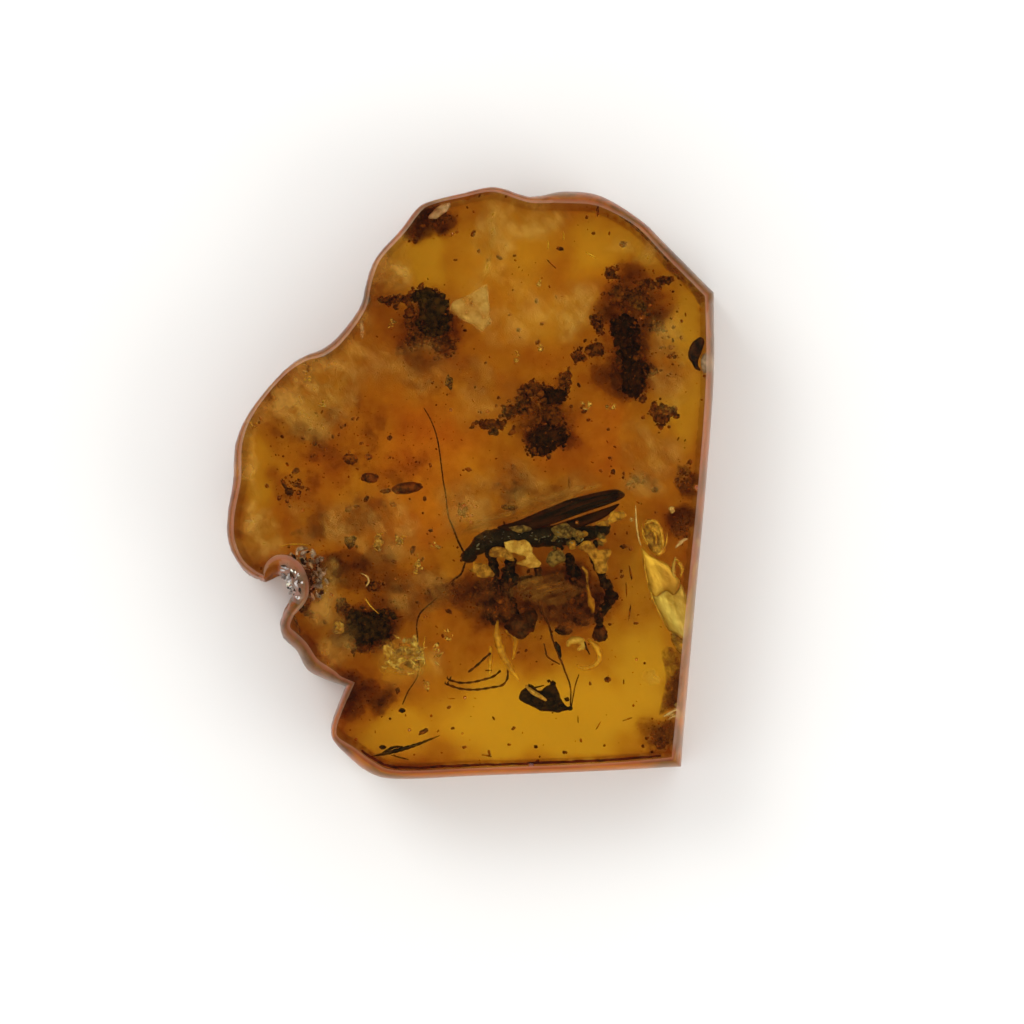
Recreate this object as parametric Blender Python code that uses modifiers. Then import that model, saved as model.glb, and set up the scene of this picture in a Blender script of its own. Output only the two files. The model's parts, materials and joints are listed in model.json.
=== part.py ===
"""An insect in amber: a polished slab of fossil resin with one insect and some plant debris sealed inside.

The slab lies on its back face, +Z up, with the origin in the middle of its footprint.  It is parted in two
halves at the insect's middle plane, because a sealed hollow can't be one closed solid.  Each inclusion lies in
a pocket of its own form, swollen by the pocket gap.  Sizes below are in millimetres, and MM makes them metres.
"""

import math

import bmesh
import bpy
from mathutils import Vector, noise

MM = 0.001

# ---------------------------------------------------------------- driving dimensions, in mm
SLAB_THICKNESS = 7.0
PARTING_HEIGHT = 4.2
PARTING_GAP = 0.3
POCKET_GAP = 0.3
BACK_ROUNDING = 0.35  # how far the back face stops short of the outline
BACK_ROUNDING_HEIGHT = 0.5
WALL_DRAFT = 0.12  # the walls lean in by this much from the back to the front
BEVEL_STEEPNESS = 2.0  # depth of the front bevel over its width
LUMP_DEPTH = 0.3  # how deep the hollows of the natural, unsawn walls are
LUMP_SIZE = 2.6
SAWN_RIGHT_EDGE = 9.5  # to the right of this and below the next, the walls are flat saw cuts
SAWN_BOTTOM_EDGE = -13.6
OUTLINE_STEPS = 3  # straight steps between two points of the outline

# The outline from above, clockwise: x, y, and how far the polished front face stops short of it there.
# A stretch is one smooth curve, and the outline has a sharp corner where two stretches meet.
CROWN = (
    (-10.18, -4.90, 0.20), (-10.88, -4.67, 0.30), (-11.62, -3.98, 0.30), (-12.12, -2.88, 0.35),
    (-12.15, -1.58, 0.35), (-11.88, 0.18, 0.40), (-11.78, 1.83, 0.35), (-11.28, 3.18, 0.25),
    (-10.38, 4.48, 0.20), (-9.28, 5.68, 0.20), (-8.28, 6.38, 0.25), (-7.43, 6.73, 0.35),
    (-6.62, 7.38, 0.35), (-5.60, 8.75, 0.30), (-5.28, 9.93, 0.25), (-4.78, 11.23, 0.25),
    (-3.58, 12.58, 0.25), (-2.78, 13.62, 0.25), (-2.08, 14.03, 0.20), (-0.48, 14.43, 0.20),
    (1.18, 14.75, 0.25), (2.93, 14.28, 0.30), (4.53, 14.55, 0.60), (6.43, 14.33, 0.55),
    (8.43, 13.12, 0.40), (9.83, 11.78, 0.45), (12.12, 9.47, 0.45),
)
SAWN_RIGHT = (
    (12.12, 9.47, 0.45), (12.12, 5.20, 0.40), (11.70, -0.50, 0.40), (11.15, -6.50, 0.45), (10.48, -14.12, 0.50),
)
SAWN_BOTTOM = (
    (10.48, -14.12, 0.50), (6.43, -14.35, 0.40), (0.43, -14.58, 0.40), (-3.58, -14.75, 0.45),
    (-5.08, -14.43, 0.60), (-6.18, -13.58, 0.55), (-6.93, -12.73, 0.30), (-6.98, -11.93, 0.25),
    (-6.58, -10.83, 0.25), (-6.30, -10.12, 0.30),
)
FLAKED_LOBES = (
    (-6.30, -10.12, 0.30), (-7.08, -9.88, 0.60), (-8.18, -9.33, 0.75), (-8.72, -8.38, 0.65),
    (-9.38, -7.73, 0.65), (-9.55, -7.03, 0.50), (-9.28, -6.23, 0.50), (-8.88, -5.48, 0.70),
    (-9.08, -4.83, 0.90), (-9.53, -4.60, 0.90), (-10.18, -4.90, 0.20),
)
OUTLINE = (CROWN, SAWN_RIGHT, SAWN_BOTTOM, FLAKED_LOBES)

# The insect lies on its side, head to the left.  Its trunk is turned about a line from head to tail.
TRUNK_HEAD = (-0.45, -3.95, 4.2)
TRUNK_TAIL = (6.90, -2.05, 4.2)
TRUNK_SECTIONS = (  # distance along the line as a share of it, and radius: head, neck, thorax, abdomen rings
    (0.00, 0.00), (0.02, 0.30), (0.07, 0.50), (0.13, 0.48), (0.155, 0.38), (0.19, 0.66), (0.28, 0.92),
    (0.36, 0.90), (0.375, 0.84), (0.45, 1.02), (0.54, 0.98), (0.555, 0.90), (0.62, 0.92), (0.70, 0.82),
    (0.715, 0.75), (0.78, 0.72), (0.86, 0.56), (0.875, 0.50), (0.94, 0.38), (1.00, 0.00),
)
TRUNK_SIDES = 12
TRUNK_FLATTENING = 0.85  # width across the insect over its height
EYE_PLACE = (-0.12, -3.72)
EYE_RADIUS = 0.20
EYE_SPREAD = 0.36  # each eye's distance from the middle plane

# Folded wing cases: middle, half-length, half-height, half-width and the angle they rise at.
WING_CASE_MIDDLE = (4.55, -1.62, 4.2)
WING_CASE_SIZE = (3.35, 0.42, 0.80)
WING_CASE_RISE = 17.0
# The thin wing that stands away above the wing cases, and its thickness.
WING_OUTLINE = (
    (0.60, -2.75), (1.25, -1.75), (2.60, -0.85), (4.40, -0.25), (5.80, -0.10), (6.60, -0.55), (5.20, -1.35),
    (3.00, -2.10), (1.60, -2.60),
)
WING_THICKNESS = 0.10
WING_HEIGHT = 4.2

# Antennae and legs: how far from the middle plane they leave the body, + on the near side, then x, y and
# radius at each joint.  They close in to FOOT_SPREAD by the third joint.
FOOT_SPREAD = 0.25
LIMBS = {
    "near antenna": (0.25, (
        (0.00, -3.75, 0.10), (-0.38, -3.50, 0.09), (-0.78, -2.58, 0.08), (-1.13, -0.83, 0.07),
        (-1.68, 1.68, 0.06), (-1.98, 3.08, 0.055), (-2.33, 3.73, 0.05),
    )),
    "far antenna": (-0.25, (
        (0.00, -3.95, 0.10), (-0.78, -4.83, 0.09), (-1.73, -5.63, 0.08), (-2.58, -6.38, 0.07),
        (-2.73, -7.43, 0.065), (-2.68, -8.58, 0.06), (-3.18, -9.98, 0.055), (-3.88, -11.03, 0.05),
    )),
    "near fore leg": (0.50, (
        (1.40, -3.70, 0.30), (0.92, -5.00, 0.33), (1.12, -6.80, 0.20), (1.78, -8.55, 0.17), (2.42, -9.85, 0.08),
        (3.70, -10.75, 0.07),
    )),
    "far fore leg": (-0.50, (
        (1.60, -3.80, 0.28), (1.75, -5.60, 0.30), (2.65, -7.20, 0.22), (1.70, -8.30, 0.12), (1.60, -9.70, 0.08),
        (0.15, -10.05, 0.06), (-1.10, -9.85, 0.05),
    )),
    "near middle leg": (0.50, (
        (2.90, -3.70, 0.30), (3.30, -5.60, 0.26), (3.58, -6.45, 0.14), (4.08, -7.85, 0.09), (4.50, -9.00, 0.07),
        (5.02, -10.30, 0.05),
    )),
    "far middle leg": (-0.50, (
        (3.20, -3.70, 0.28), (2.60, -5.90, 0.28), (3.10, -7.05, 0.14), (1.40, -8.40, 0.07), (0.00, -9.35, 0.05),
    )),
    "near hind leg": (0.50, (
        (5.20, -3.00, 0.30), (6.75, -5.30, 0.36), (6.50, -6.90, 0.26), (6.25, -7.80, 0.15), (5.20, -8.05, 0.13),
        (5.95, -8.55, 0.13), (6.30, -9.20, 0.12), (5.40, -9.50, 0.09),
    )),
    "far hind leg": (-0.50, (
        (4.80, -3.20, 0.26), (5.75, -5.00, 0.20), (6.00, -6.45, 0.18), (5.20, -7.10, 0.10),
    )),
}

# Plant debris: middle, half-sizes and the seed that shapes each crumb.
DEBRIS = {
    "debris_upper_left": ((-2.20, 8.05, 3.75), (1.05, 1.45, 0.55), 3),
    "debris_upper_right": ((7.75, 6.60, 3.80), (0.75, 2.05, 0.60), 11),
    "debris_centre": ((3.80, 2.30, 3.90), (1.10, 0.95, 0.60), 7),
    "debris_lower_left": ((-5.20, -7.30, 4.30), (1.05, 0.95, 0.55), 5),
}
PELLETS = {
    "pellet_long": ((-3.48, -0.18, 4.30), (0.75, 0.30, 0.30), 21),
    "pellet_short": ((-5.00, 0.32, 4.25), (0.42, 0.28, 0.28), 22),
}
CRUMB_LUMPS = (3, 0.38)
PELLET_LUMPS = (2, 0.10)
CRUMB_GRAIN = 1.9  # lumps across a crumb

BARK_OUTLINE = (
    (2.38, -10.68), (2.85, -10.20), (3.35, -10.35), (3.90, -10.05), (4.05, -9.65), (4.30, -10.20), (4.75, -10.65),
    (5.05, -11.25), (4.70, -11.40), (3.65, -11.40), (2.90, -11.15),
)
BARK_HEIGHT = 4.2
BARK_THICKNESS = 0.3
SPLINTER = ((-4.95, -13.55, 4.15, 0.06), (-4.10, -13.35, 4.20, 0.16), (-2.90, -13.00, 4.25, 0.12), (-1.60, -12.55, 4.30, 0.03))


# ---------------------------------------------------------------- helpers
def millimetres(*values):
    return Vector(values) * MM


def smooth_run(points, steps):
    """Points along a Catmull-Rom curve through the given ones, without the last."""
    rows = [Vector(p) for p in points]
    rows = [2 * rows[0] - rows[1], *rows, 2 * rows[-1] - rows[-2]]
    run = []
    for before, start, end, after in zip(rows, rows[1:], rows[2:], rows[3:]):
        for step in range(steps):
            t = step / steps
            run.append(
                0.5 * (2 * start + (end - before) * t
                       + (2 * before - 5 * start + 4 * end - after) * t**2
                       + (3 * start - before - 3 * end + after) * t**3)
            )
    return run


def new_collection(name):
    collection = bpy.data.collections.new(name)
    bpy.context.scene.collection.children.link(collection)
    return collection


def new_object(name, mesh, collection):
    thing = bpy.data.objects.new(name, mesh)
    collection.objects.link(thing)
    return thing


def mesh_from(name, build):
    """A mesh made by build(bm), a function that fills an empty bmesh."""
    mesh = bpy.data.meshes.new(name)
    bm = bmesh.new()
    build(bm)
    bmesh.ops.recalc_face_normals(bm, faces=bm.faces)
    bm.to_mesh(mesh)
    bm.free()
    return mesh


def material(name, colour, roughness, transmission=0.0):
    made = bpy.data.materials.new(name)
    made.use_nodes = True
    shader = made.node_tree.nodes["Principled BSDF"]
    shader.inputs["Base Color"].default_value = (*colour, 1.0)
    shader.inputs["Roughness"].default_value = roughness
    shader.inputs["Transmission Weight"].default_value = transmission
    return made


def baked(thing, collection):
    """The object as its modifiers leave it, as a plain mesh in place of the object."""
    graph = bpy.context.evaluated_depsgraph_get()
    mesh = bpy.data.meshes.new_from_object(thing.evaluated_get(graph))
    mesh.transform(thing.matrix_world)
    name = thing.name
    bpy.data.objects.remove(thing)
    bm = bmesh.new()
    bm.from_mesh(mesh)
    bmesh.ops.remove_doubles(bm, verts=bm.verts, dist=0.001 * MM)
    bm.to_mesh(mesh)
    bm.free()
    return new_object(name, mesh, collection)


def boolean(thing, other, operation):
    cut = thing.modifiers.new(f"{operation.lower()} {other.name}", "BOOLEAN")
    cut.operation = operation
    cut.solver = "EXACT"
    cut.object = other


def as_cutter(thing):
    thing.hide_render = True
    thing.display_type = "WIRE"
    return thing


# ---------------------------------------------------------------- the amber slab
def outline_points():
    """The closed outline: (place, inward direction, bevel width) at each point, all in mm."""
    run = [p for stretch in OUTLINE for p in smooth_run(stretch, OUTLINE_STEPS)]
    found = []
    for i, here in enumerate(run):
        before, after = run[i - 1].xy, run[(i + 1) % len(run)].xy
        first, second = (here.xy - before).normalized(), (after - here.xy).normalized()
        inward = Vector((second.y + first.y, -second.x - first.x)).normalized()
        mitre = 1 / max(0.6, inward.dot(Vector((second.y, -second.x))))
        found.append((here.xy, inward * mitre, here.z))
    return found


def lump(place, height):
    """How deep the natural wall is hollowed at this place.  Sawn walls stay flat."""
    sawn = place.x > SAWN_RIGHT_EDGE or place.y < SAWN_BOTTOM_EDGE
    if sawn:
        return 0.0
    wave = noise.noise(Vector((place.x, place.y, 1.6 * height)) / LUMP_SIZE)
    return LUMP_DEPTH * max(0.0, 0.35 + wave)


def wall_ring(outline, height):
    share = (height - BACK_ROUNDING_HEIGHT) / SLAB_THICKNESS
    return [
        (*(p + inward * (share * WALL_DRAFT + lump(p, height))), height) for p, inward, _ in outline
    ]


def back_ring(outline, turn):
    """A ring of the rounded back edge: turn 0 is on the wall, and 90 on the back face."""
    inset = BACK_ROUNDING * (1 - math.cos(math.radians(turn)))
    height = BACK_ROUNDING_HEIGHT * (1 - math.sin(math.radians(turn)))
    return [(*(p + inward * inset), height) for p, inward, _ in outline]


def front_ring(outline, turn):
    """A ring of the front bevel: turn 0 is on the wall, and 90 on the polished front face."""
    ring = []
    for p, inward, width in outline:
        inset = WALL_DRAFT + width * (1 - math.cos(math.radians(turn)))
        depth = BEVEL_STEEPNESS * width * (1 - math.sin(math.radians(turn)))
        ring.append((*(p + inward * inset), SLAB_THICKNESS - depth))
    return ring


def slab_half(name, rings, collection):
    """A loft through the rings, closed by a flat face at each end."""

    def build(bm):
        rows = [[bm.verts.new(millimetres(*p)) for p in ring] for ring in rings]
        count = len(rows[0])
        for low, high in zip(rows, rows[1:]):
            for i in range(count):
                j = (i + 1) % count
                bm.faces.new((low[i], low[j], high[j], high[i]))
        bm.faces.new(rows[0])
        bm.faces.new(rows[-1])

    half = new_object(name, mesh_from(name, build), collection)
    half.data.materials.append(amber_resin)
    return half


# ---------------------------------------------------------------- the inclusions, swollen for their pockets
def tube(name, points, swell, collection):
    """A tapering tube along x, y, z, radius points, swollen along its length too."""
    run = [Vector(point) for point in points]
    for end, inner in ((run[0], run[1]), (run[-1], run[-2])):
        end.xyz += (end.xyz - inner.xyz).normalized() * swell
    curve = bpy.data.curves.new(name, "CURVE")
    curve.dimensions = "3D"
    curve.bevel_depth = MM
    curve.bevel_resolution = 1
    curve.use_fill_caps = True
    spline = curve.splines.new("POLY")
    spline.points.add(len(run) - 1)
    for point, (x, y, z, radius) in zip(spline.points, run):
        point.co = (*millimetres(x, y, z), 1)
        point.radius = radius + swell
    return baked(new_object(name, curve, collection), collection)


def ball(name, middle, sizes, swell, collection, rise=0.0):
    """A rounded form with these half-sizes, turned by rise degrees about Z."""
    mesh = mesh_from(name, lambda bm: bmesh.ops.create_uvsphere(bm, u_segments=12, v_segments=8, radius=1.0))
    form = new_object(name, mesh, collection)
    form.scale = millimetres(*(size + swell for size in sizes))
    form.rotation_euler.z = math.radians(rise)
    form.location = millimetres(*middle)
    bpy.context.view_layer.update()
    return baked(form, collection)


def trunk(swell, collection):
    """Head, thorax and ringed abdomen, turned about the body's own line."""
    head, tail = millimetres(*TRUNK_HEAD), millimetres(*TRUNK_TAIL)
    length = (tail - head).length

    def build(bm):
        profile = []
        for share, radius in TRUNK_SECTIONS:
            at_end = 1 if share == 1.0 else -1 if share == 0.0 else 0
            across = radius + swell if not at_end else 0.0
            profile.append(bm.verts.new((across * MM, 0, share * length + at_end * swell * MM)))
        for low, high in zip(profile, profile[1:]):
            bm.edges.new((high, low))

    form = new_object("trunk", mesh_from("trunk", build), collection)
    turned = form.modifiers.new("turned", "SCREW")
    turned.steps = turned.render_steps = TRUNK_SIDES
    turned.use_merge_vertices = True
    turned.merge_threshold = 0.001 * MM
    turned.use_normal_calculate = True
    form.rotation_mode = "QUATERNION"
    form.rotation_quaternion = (tail - head).to_track_quat("Z", "Y")
    form.location = head
    bpy.context.view_layer.update()
    form = baked(form, collection)
    middle = TRUNK_HEAD[2] * MM
    for vertex in form.data.vertices:
        vertex.co.z = middle + (vertex.co.z - middle) * TRUNK_FLATTENING
    return form


def plate(name, points, height, thickness, swell, collection):
    """A flat piece of this outline, grown on every side by swell."""
    corners = [Vector(p) for p in points]
    curve = bpy.data.curves.new(name, "CURVE")
    curve.dimensions = "2D"
    curve.fill_mode = "BOTH"
    curve.extrude = (thickness / 2 + swell) * MM
    curve.offset = 0.0
    spline = curve.splines.new("POLY")
    spline.points.add(len(corners) - 1)
    spline.use_cyclic_u = True
    for i, (point, here) in enumerate(zip(spline.points, corners)):
        along = (corners[(i + 1) % len(corners)] - corners[i - 1]).normalized()
        outward = Vector((-along.y, along.x))
        point.co = (*millimetres(*(here + outward * swell)), 0, 1)
    form = new_object(name, curve, collection)
    form.location.z = height * MM
    bpy.context.view_layer.update()
    return baked(form, collection)


def crumb(name, middle, sizes, seed, lumps, swell, collection):
    """An irregular lump with these half-sizes.  lumps is how finely it is divided and how deep its bumps are."""
    fineness, roughness = lumps

    def build(bm):
        bmesh.ops.create_icosphere(bm, subdivisions=fineness, radius=1.0)
        for vertex in bm.verts:
            way = vertex.co.normalized()
            bump = noise.noise(way * CRUMB_GRAIN + Vector((seed, 0, 0)))
            place = Vector(a * b for a, b in zip(way, sizes)) * (1 + roughness * bump)
            vertex.co = (place + way * swell) * MM
        bmesh.ops.translate(bm, verts=bm.verts, vec=millimetres(*middle))

    return new_object(name, mesh_from(name, build), collection)


def insect_form(name, swell, collection):
    """The whole insect as one closed mesh: trunk, eyes, wings, antennae and legs joined."""
    limbs = new_collection(f"{name} limbs")
    for side, spread in (("near", EYE_SPREAD), ("far", -EYE_SPREAD)):
        middle = (*EYE_PLACE, TRUNK_HEAD[2] + spread)
        ball(f"eye {side}", middle, (EYE_RADIUS,) * 3, swell, limbs)
    ball("wing cases", WING_CASE_MIDDLE, WING_CASE_SIZE, swell, limbs, WING_CASE_RISE)
    plate("wing", WING_OUTLINE, WING_HEIGHT, WING_THICKNESS, swell, limbs)
    for limb, (root, joints) in LIMBS.items():
        foot = math.copysign(FOOT_SPREAD, root)
        spreads = [root, (root + foot) / 2] + [foot] * (len(joints) - 2)
        heights = [TRUNK_HEAD[2] + spread for spread in spreads]
        tube(limb, [(x, y, z, radius) for (x, y, radius), z in zip(joints, heights)], swell, limbs)
    body = trunk(swell, collection)
    body.name = name
    union = body.modifiers.new("joined limbs", "BOOLEAN")
    union.operation = "UNION"
    union.solver = "EXACT"
    union.operand_type = "COLLECTION"
    union.collection = limbs
    bpy.context.view_layer.update()
    joined = baked(body, collection)
    for limb in list(limbs.objects):
        bpy.data.objects.remove(limb)
    bpy.data.collections.remove(limbs)
    return joined


def shade(thing, finish):
    thing.data.materials.clear()
    thing.data.materials.append(finish)
    thing.data.shade_smooth()
    thing.data.set_sharp_from_angle(angle=math.radians(40))
    return thing


# ---------------------------------------------------------------- the model
for old in list(bpy.data.objects):
    bpy.data.objects.remove(old)

amber_resin = material("amber_resin", (0.80, 0.38, 0.03), 0.08, transmission=1.0)
insect_shell = material("insect_shell", (0.035, 0.018, 0.010), 0.35)
plant_debris = material("plant_debris", (0.055, 0.026, 0.012), 0.75)
frass = material("frass", (0.16, 0.06, 0.02), 0.7)

specimen = new_collection("insect_in_amber")
pockets = new_collection("pocket cutters")

outline = outline_points()
low_face, high_face = PARTING_HEIGHT - PARTING_GAP / 2, PARTING_HEIGHT + PARTING_GAP / 2
back_rings = [back_ring(outline, turn) for turn in (90, 50, 0)]
back_rings += [wall_ring(outline, height) for height in (2.2, low_face)]
front_rings = [wall_ring(outline, high_face)]
front_rings += [front_ring(outline, turn) for turn in (0, 35, 65, 90)]
amber_back = slab_half("amber_back", back_rings, specimen)
amber_front = slab_half("amber_front", front_rings, specimen)

shade(insect_form("insect", 0.0, specimen), insect_shell)
cutters = [insect_form("insect pocket", POCKET_GAP, pockets)]

for group, finish, lumps in ((DEBRIS, plant_debris, CRUMB_LUMPS), (PELLETS, frass, PELLET_LUMPS)):
    for name, (middle, sizes, seed) in group.items():
        shade(crumb(name, middle, sizes, seed, lumps, 0.0, specimen), finish)
        cutters.append(crumb(f"{name} pocket", middle, sizes, seed, lumps, POCKET_GAP, pockets))

shade(plate("bark_flake", BARK_OUTLINE, BARK_HEIGHT, BARK_THICKNESS, 0.0, specimen), plant_debris)
cutters.append(plate("bark_flake pocket", BARK_OUTLINE, BARK_HEIGHT, BARK_THICKNESS, POCKET_GAP, pockets))
shade(tube("splinter", SPLINTER, 0.0, specimen), plant_debris)
cutters.append(tube("splinter pocket", SPLINTER, POCKET_GAP, pockets))

for cutter in cutters:
    as_cutter(cutter)
    for half in (amber_back, amber_front):
        boolean(half, cutter, "DIFFERENCE")
for half in (amber_back, amber_front):
    half.data.shade_smooth()
    half.data.set_sharp_from_angle(angle=math.radians(40))
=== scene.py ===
# %% [markdown]
# # An insect in amber
# A polished slab of fossil resin holds one long-legged insect, some crumbs of rotten bark, and the cracks,
# clouds and bubbles that formed while the resin was still soft.  The slab's height comes from its CAD
# halves, which the finished piece takes the place of.

# %% Load the frame
import json
import math
import random

import bmesh
import bpy
import numpy as np
from mathutils import Matrix, Vector, geometry, noise

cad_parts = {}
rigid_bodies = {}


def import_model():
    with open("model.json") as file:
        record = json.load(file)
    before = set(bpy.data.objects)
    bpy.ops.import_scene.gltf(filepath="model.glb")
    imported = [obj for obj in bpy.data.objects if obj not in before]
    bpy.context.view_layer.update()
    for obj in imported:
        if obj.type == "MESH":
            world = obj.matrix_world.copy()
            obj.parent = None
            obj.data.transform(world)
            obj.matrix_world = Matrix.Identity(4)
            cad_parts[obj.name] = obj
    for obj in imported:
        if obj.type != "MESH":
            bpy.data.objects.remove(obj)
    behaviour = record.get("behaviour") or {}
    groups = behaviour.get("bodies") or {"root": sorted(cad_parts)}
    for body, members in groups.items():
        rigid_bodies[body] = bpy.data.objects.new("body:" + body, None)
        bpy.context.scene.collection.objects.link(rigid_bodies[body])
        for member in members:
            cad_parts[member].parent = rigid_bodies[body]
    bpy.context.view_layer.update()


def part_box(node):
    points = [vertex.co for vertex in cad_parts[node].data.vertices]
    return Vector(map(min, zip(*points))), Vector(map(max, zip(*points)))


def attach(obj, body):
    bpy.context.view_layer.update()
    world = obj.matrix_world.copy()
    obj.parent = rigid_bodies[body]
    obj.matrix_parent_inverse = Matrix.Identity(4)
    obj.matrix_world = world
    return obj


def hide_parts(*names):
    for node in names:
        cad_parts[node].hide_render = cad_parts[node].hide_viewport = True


for leftover in list(bpy.data.objects):
    bpy.data.objects.remove(leftover)
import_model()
MM = 0.001  # every length below is in millimetres until it meets a mesh
slab_low, slab_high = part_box("amber_back")[0] / MM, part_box("amber_front")[1] / MM
print("slab, mm:", [round(v, 2) for v in slab_high - slab_low])

# %% [markdown]
# ## Camera, floor and light
# A slab like this is looked at from straight above, so the camera looks down on it with a long lens.
# The floor is pale, and almost all the light is a soft dome: clear resin is lit best by what lies around
# and behind it.  The dome is dim right overhead, so that the flat polished face doesn't mirror it.

# %% Camera
LENS = 300.0
VIEW_WIDTH = 51.2  # how much of the floor the camera takes in, in mm
VIEW_CENTRE = (2.025, -1.425)
SENSOR = 36.0
VIEW_PLANE = 1.5  # the height at which VIEW_WIDTH is measured


def link(thing):
    bpy.context.scene.collection.objects.link(thing)
    return thing


camera = link(bpy.data.objects.new("camera", bpy.data.cameras.new("camera")))
camera.data.lens = LENS
camera.data.sensor_width = SENSOR
camera_height = VIEW_PLANE + VIEW_WIDTH * LENS / SENSOR
camera.location = (*(MM * v for v in VIEW_CENTRE), MM * camera_height)
bpy.context.scene.camera = camera
print("camera height, mm:", round(camera_height))


# %% Helpers for nodes
def node(tree, kind, inputs=None, **settings):
    """Adds a node.  An input is a value, or another node's output socket to link from."""
    made = tree.nodes.new(kind)
    for name, value in settings.items():
        setattr(made, name, value)
    for name, value in (inputs or {}).items():
        if isinstance(value, bpy.types.NodeSocket):
            tree.links.new(value, made.inputs[name])
        else:
            made.inputs[name].default_value = value
    return made


def place(tree, kind, inputs=None, **settings):
    """Adds a shader node."""
    return node(tree, "ShaderNode" + kind, inputs, **settings)


def colour_sockets(sockets):
    """A Mix node has sockets of every kind; these are the ones for colours."""
    return [socket for socket in sockets if socket.type == "RGBA"]


def ramp(tree, factor, stops, smooth=True):
    """A Color Ramp through (position, colour) stops."""
    made = place(tree, "ValToRGB", {"Fac": factor})
    made.color_ramp.interpolation = "EASE" if smooth else "LINEAR"
    elements = made.color_ramp.elements
    while len(elements) < len(stops):
        elements.new(0.5)
    for element, (position, colour) in zip(elements, stops):
        element.position = position
        element.color = (*colour, 1.0)
    return made.outputs["Color"]


def new_material(name):
    made = bpy.data.materials.new(name)
    made.use_nodes = True
    tree = made.node_tree
    return made, tree, tree.nodes["Principled BSDF"]


# %% Light
DOME_STOPS = (  # the height of the sky as the sine of its angle, and its brightness there
    (0.00, 0.74), (0.30, 1.10), (0.70, 1.33), (0.955, 1.33), (0.985, 0.15), (1.00, 0.06),
)
world = bpy.data.worlds.new("studio dome")
bpy.context.scene.world = world
world.use_nodes = True
sky = world.node_tree
direction = place(sky, "TexCoord").outputs["Generated"]
height = place(sky, "SeparateXYZ", {"Vector": direction}).outputs["Z"]
brightness = ramp(sky, height, [(z, (v, v, v)) for z, v in DOME_STOPS], smooth=False)
sky.links.new(brightness, sky.nodes["Background"].inputs["Color"])

SOFTBOXES = {  # place and size in mm, and power in watts
    "softbox_key": ((-160, 150, 260), 150, 0.35),
    "softbox_fill": ((260, -120, 220), 180, 0.25),
}
for name, (where, size, power) in SOFTBOXES.items():
    lamp = link(bpy.data.objects.new(name, bpy.data.lights.new(name, "AREA")))
    lamp.data.size = size * MM
    lamp.data.energy = power
    lamp.location = Vector(where) * MM
    lamp.rotation_euler = (-lamp.location).to_track_quat("-Z", "Y").to_euler()
bpy.context.scene.view_settings.view_transform = "Standard"

# %% Floor
FLOOR_SIZE = 4.0
FLOOR_GAP = 0.05  # keeps the floor clear of the slab's back face
floor_mesh = bpy.data.meshes.new("floor")
half = FLOOR_SIZE / 2
floor_mesh.from_pydata(
    [(x, y, -FLOOR_GAP * MM) for x, y in ((-half, -half), (half, -half), (half, half), (-half, half))],
    [], [(0, 1, 2, 3)],
)
floor = link(bpy.data.objects.new("floor", floor_mesh))
floor_paint, _, paint = new_material("pale_floor")
paint.inputs["Base Color"].default_value = (0.72, 0.71, 0.69, 1)
paint.inputs["Roughness"].default_value = 0.8
floor_mesh.materials.append(floor_paint)

# %% [markdown]
# ## The slab's outline
# The real slab is a natural drop of resin on its left and top, with a bite and some flaked lobes at its lower
# left, and is sawn straight on its right and bottom.  Each point has its place and the width of the rounded
# edge there, which is narrow on the crown and wide on the flaked lobes.  The stretches meet in sharp corners.

# %% Outline points, clockwise: x, y and the width of the rounded edge
CROWN = (
    (-10.18, -4.90, 0.20), (-10.88, -4.67, 0.30), (-11.62, -3.98, 0.30), (-12.12, -2.88, 0.35),
    (-12.15, -1.58, 0.35), (-11.88, 0.18, 0.40), (-11.78, 1.83, 0.35), (-11.28, 3.18, 0.25),
    (-10.38, 4.48, 0.20), (-9.28, 5.68, 0.20), (-8.28, 6.38, 0.25), (-7.43, 6.73, 0.35),
    (-6.62, 7.38, 0.35), (-5.60, 8.75, 0.30), (-5.28, 9.93, 0.25), (-4.78, 11.23, 0.25),
    (-3.58, 12.58, 0.25), (-2.78, 13.62, 0.25), (-2.08, 14.03, 0.20), (-0.48, 14.43, 0.20),
    (1.18, 14.75, 0.25), (2.93, 14.28, 0.30), (4.53, 14.55, 0.60), (6.43, 14.33, 0.55),
    (8.43, 13.12, 0.40), (9.83, 11.78, 0.45), (12.12, 9.47, 0.45),
)
SAWN_RIGHT = (
    (12.12, 9.47, 0.45), (12.12, 5.20, 0.40), (11.70, -0.50, 0.40), (11.15, -6.50, 0.45),
    (10.48, -14.12, 0.50),
)
SAWN_BOTTOM = (
    (10.48, -14.12, 0.50), (6.43, -14.35, 0.40), (0.43, -14.58, 0.40), (-3.58, -14.75, 0.45),
    (-5.08, -14.43, 0.60), (-6.18, -13.58, 0.55), (-6.93, -12.73, 0.30), (-6.98, -11.93, 0.25),
    (-6.58, -10.83, 0.25), (-6.30, -10.12, 0.30),
)
FLAKED_LOBES = (
    (-6.30, -10.12, 0.30), (-7.08, -9.88, 0.60), (-8.18, -9.33, 0.75), (-8.72, -8.38, 0.65),
    (-9.38, -7.73, 0.65), (-9.55, -7.03, 0.50), (-9.28, -6.23, 0.50), (-8.88, -5.48, 0.70),
    (-9.08, -4.83, 0.90), (-9.53, -4.60, 0.90), (-10.18, -4.90, 0.20),
)
OUTLINE_STEPS = 3
DRAFT = 0.12  # the walls lean in by this much from the back to the front


def curve_piece(before, start, end, after, steps):
    """Points of a Catmull-Rom curve from start on, without end."""
    found = []
    for step in range(steps):
        t = step / steps
        found.append(
            0.5 * (2 * start + (end - before) * t + (2 * before - 5 * start + 4 * end - after) * t**2
                   + (3 * start - before - 3 * end + after) * t**3)
        )
    return found


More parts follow.
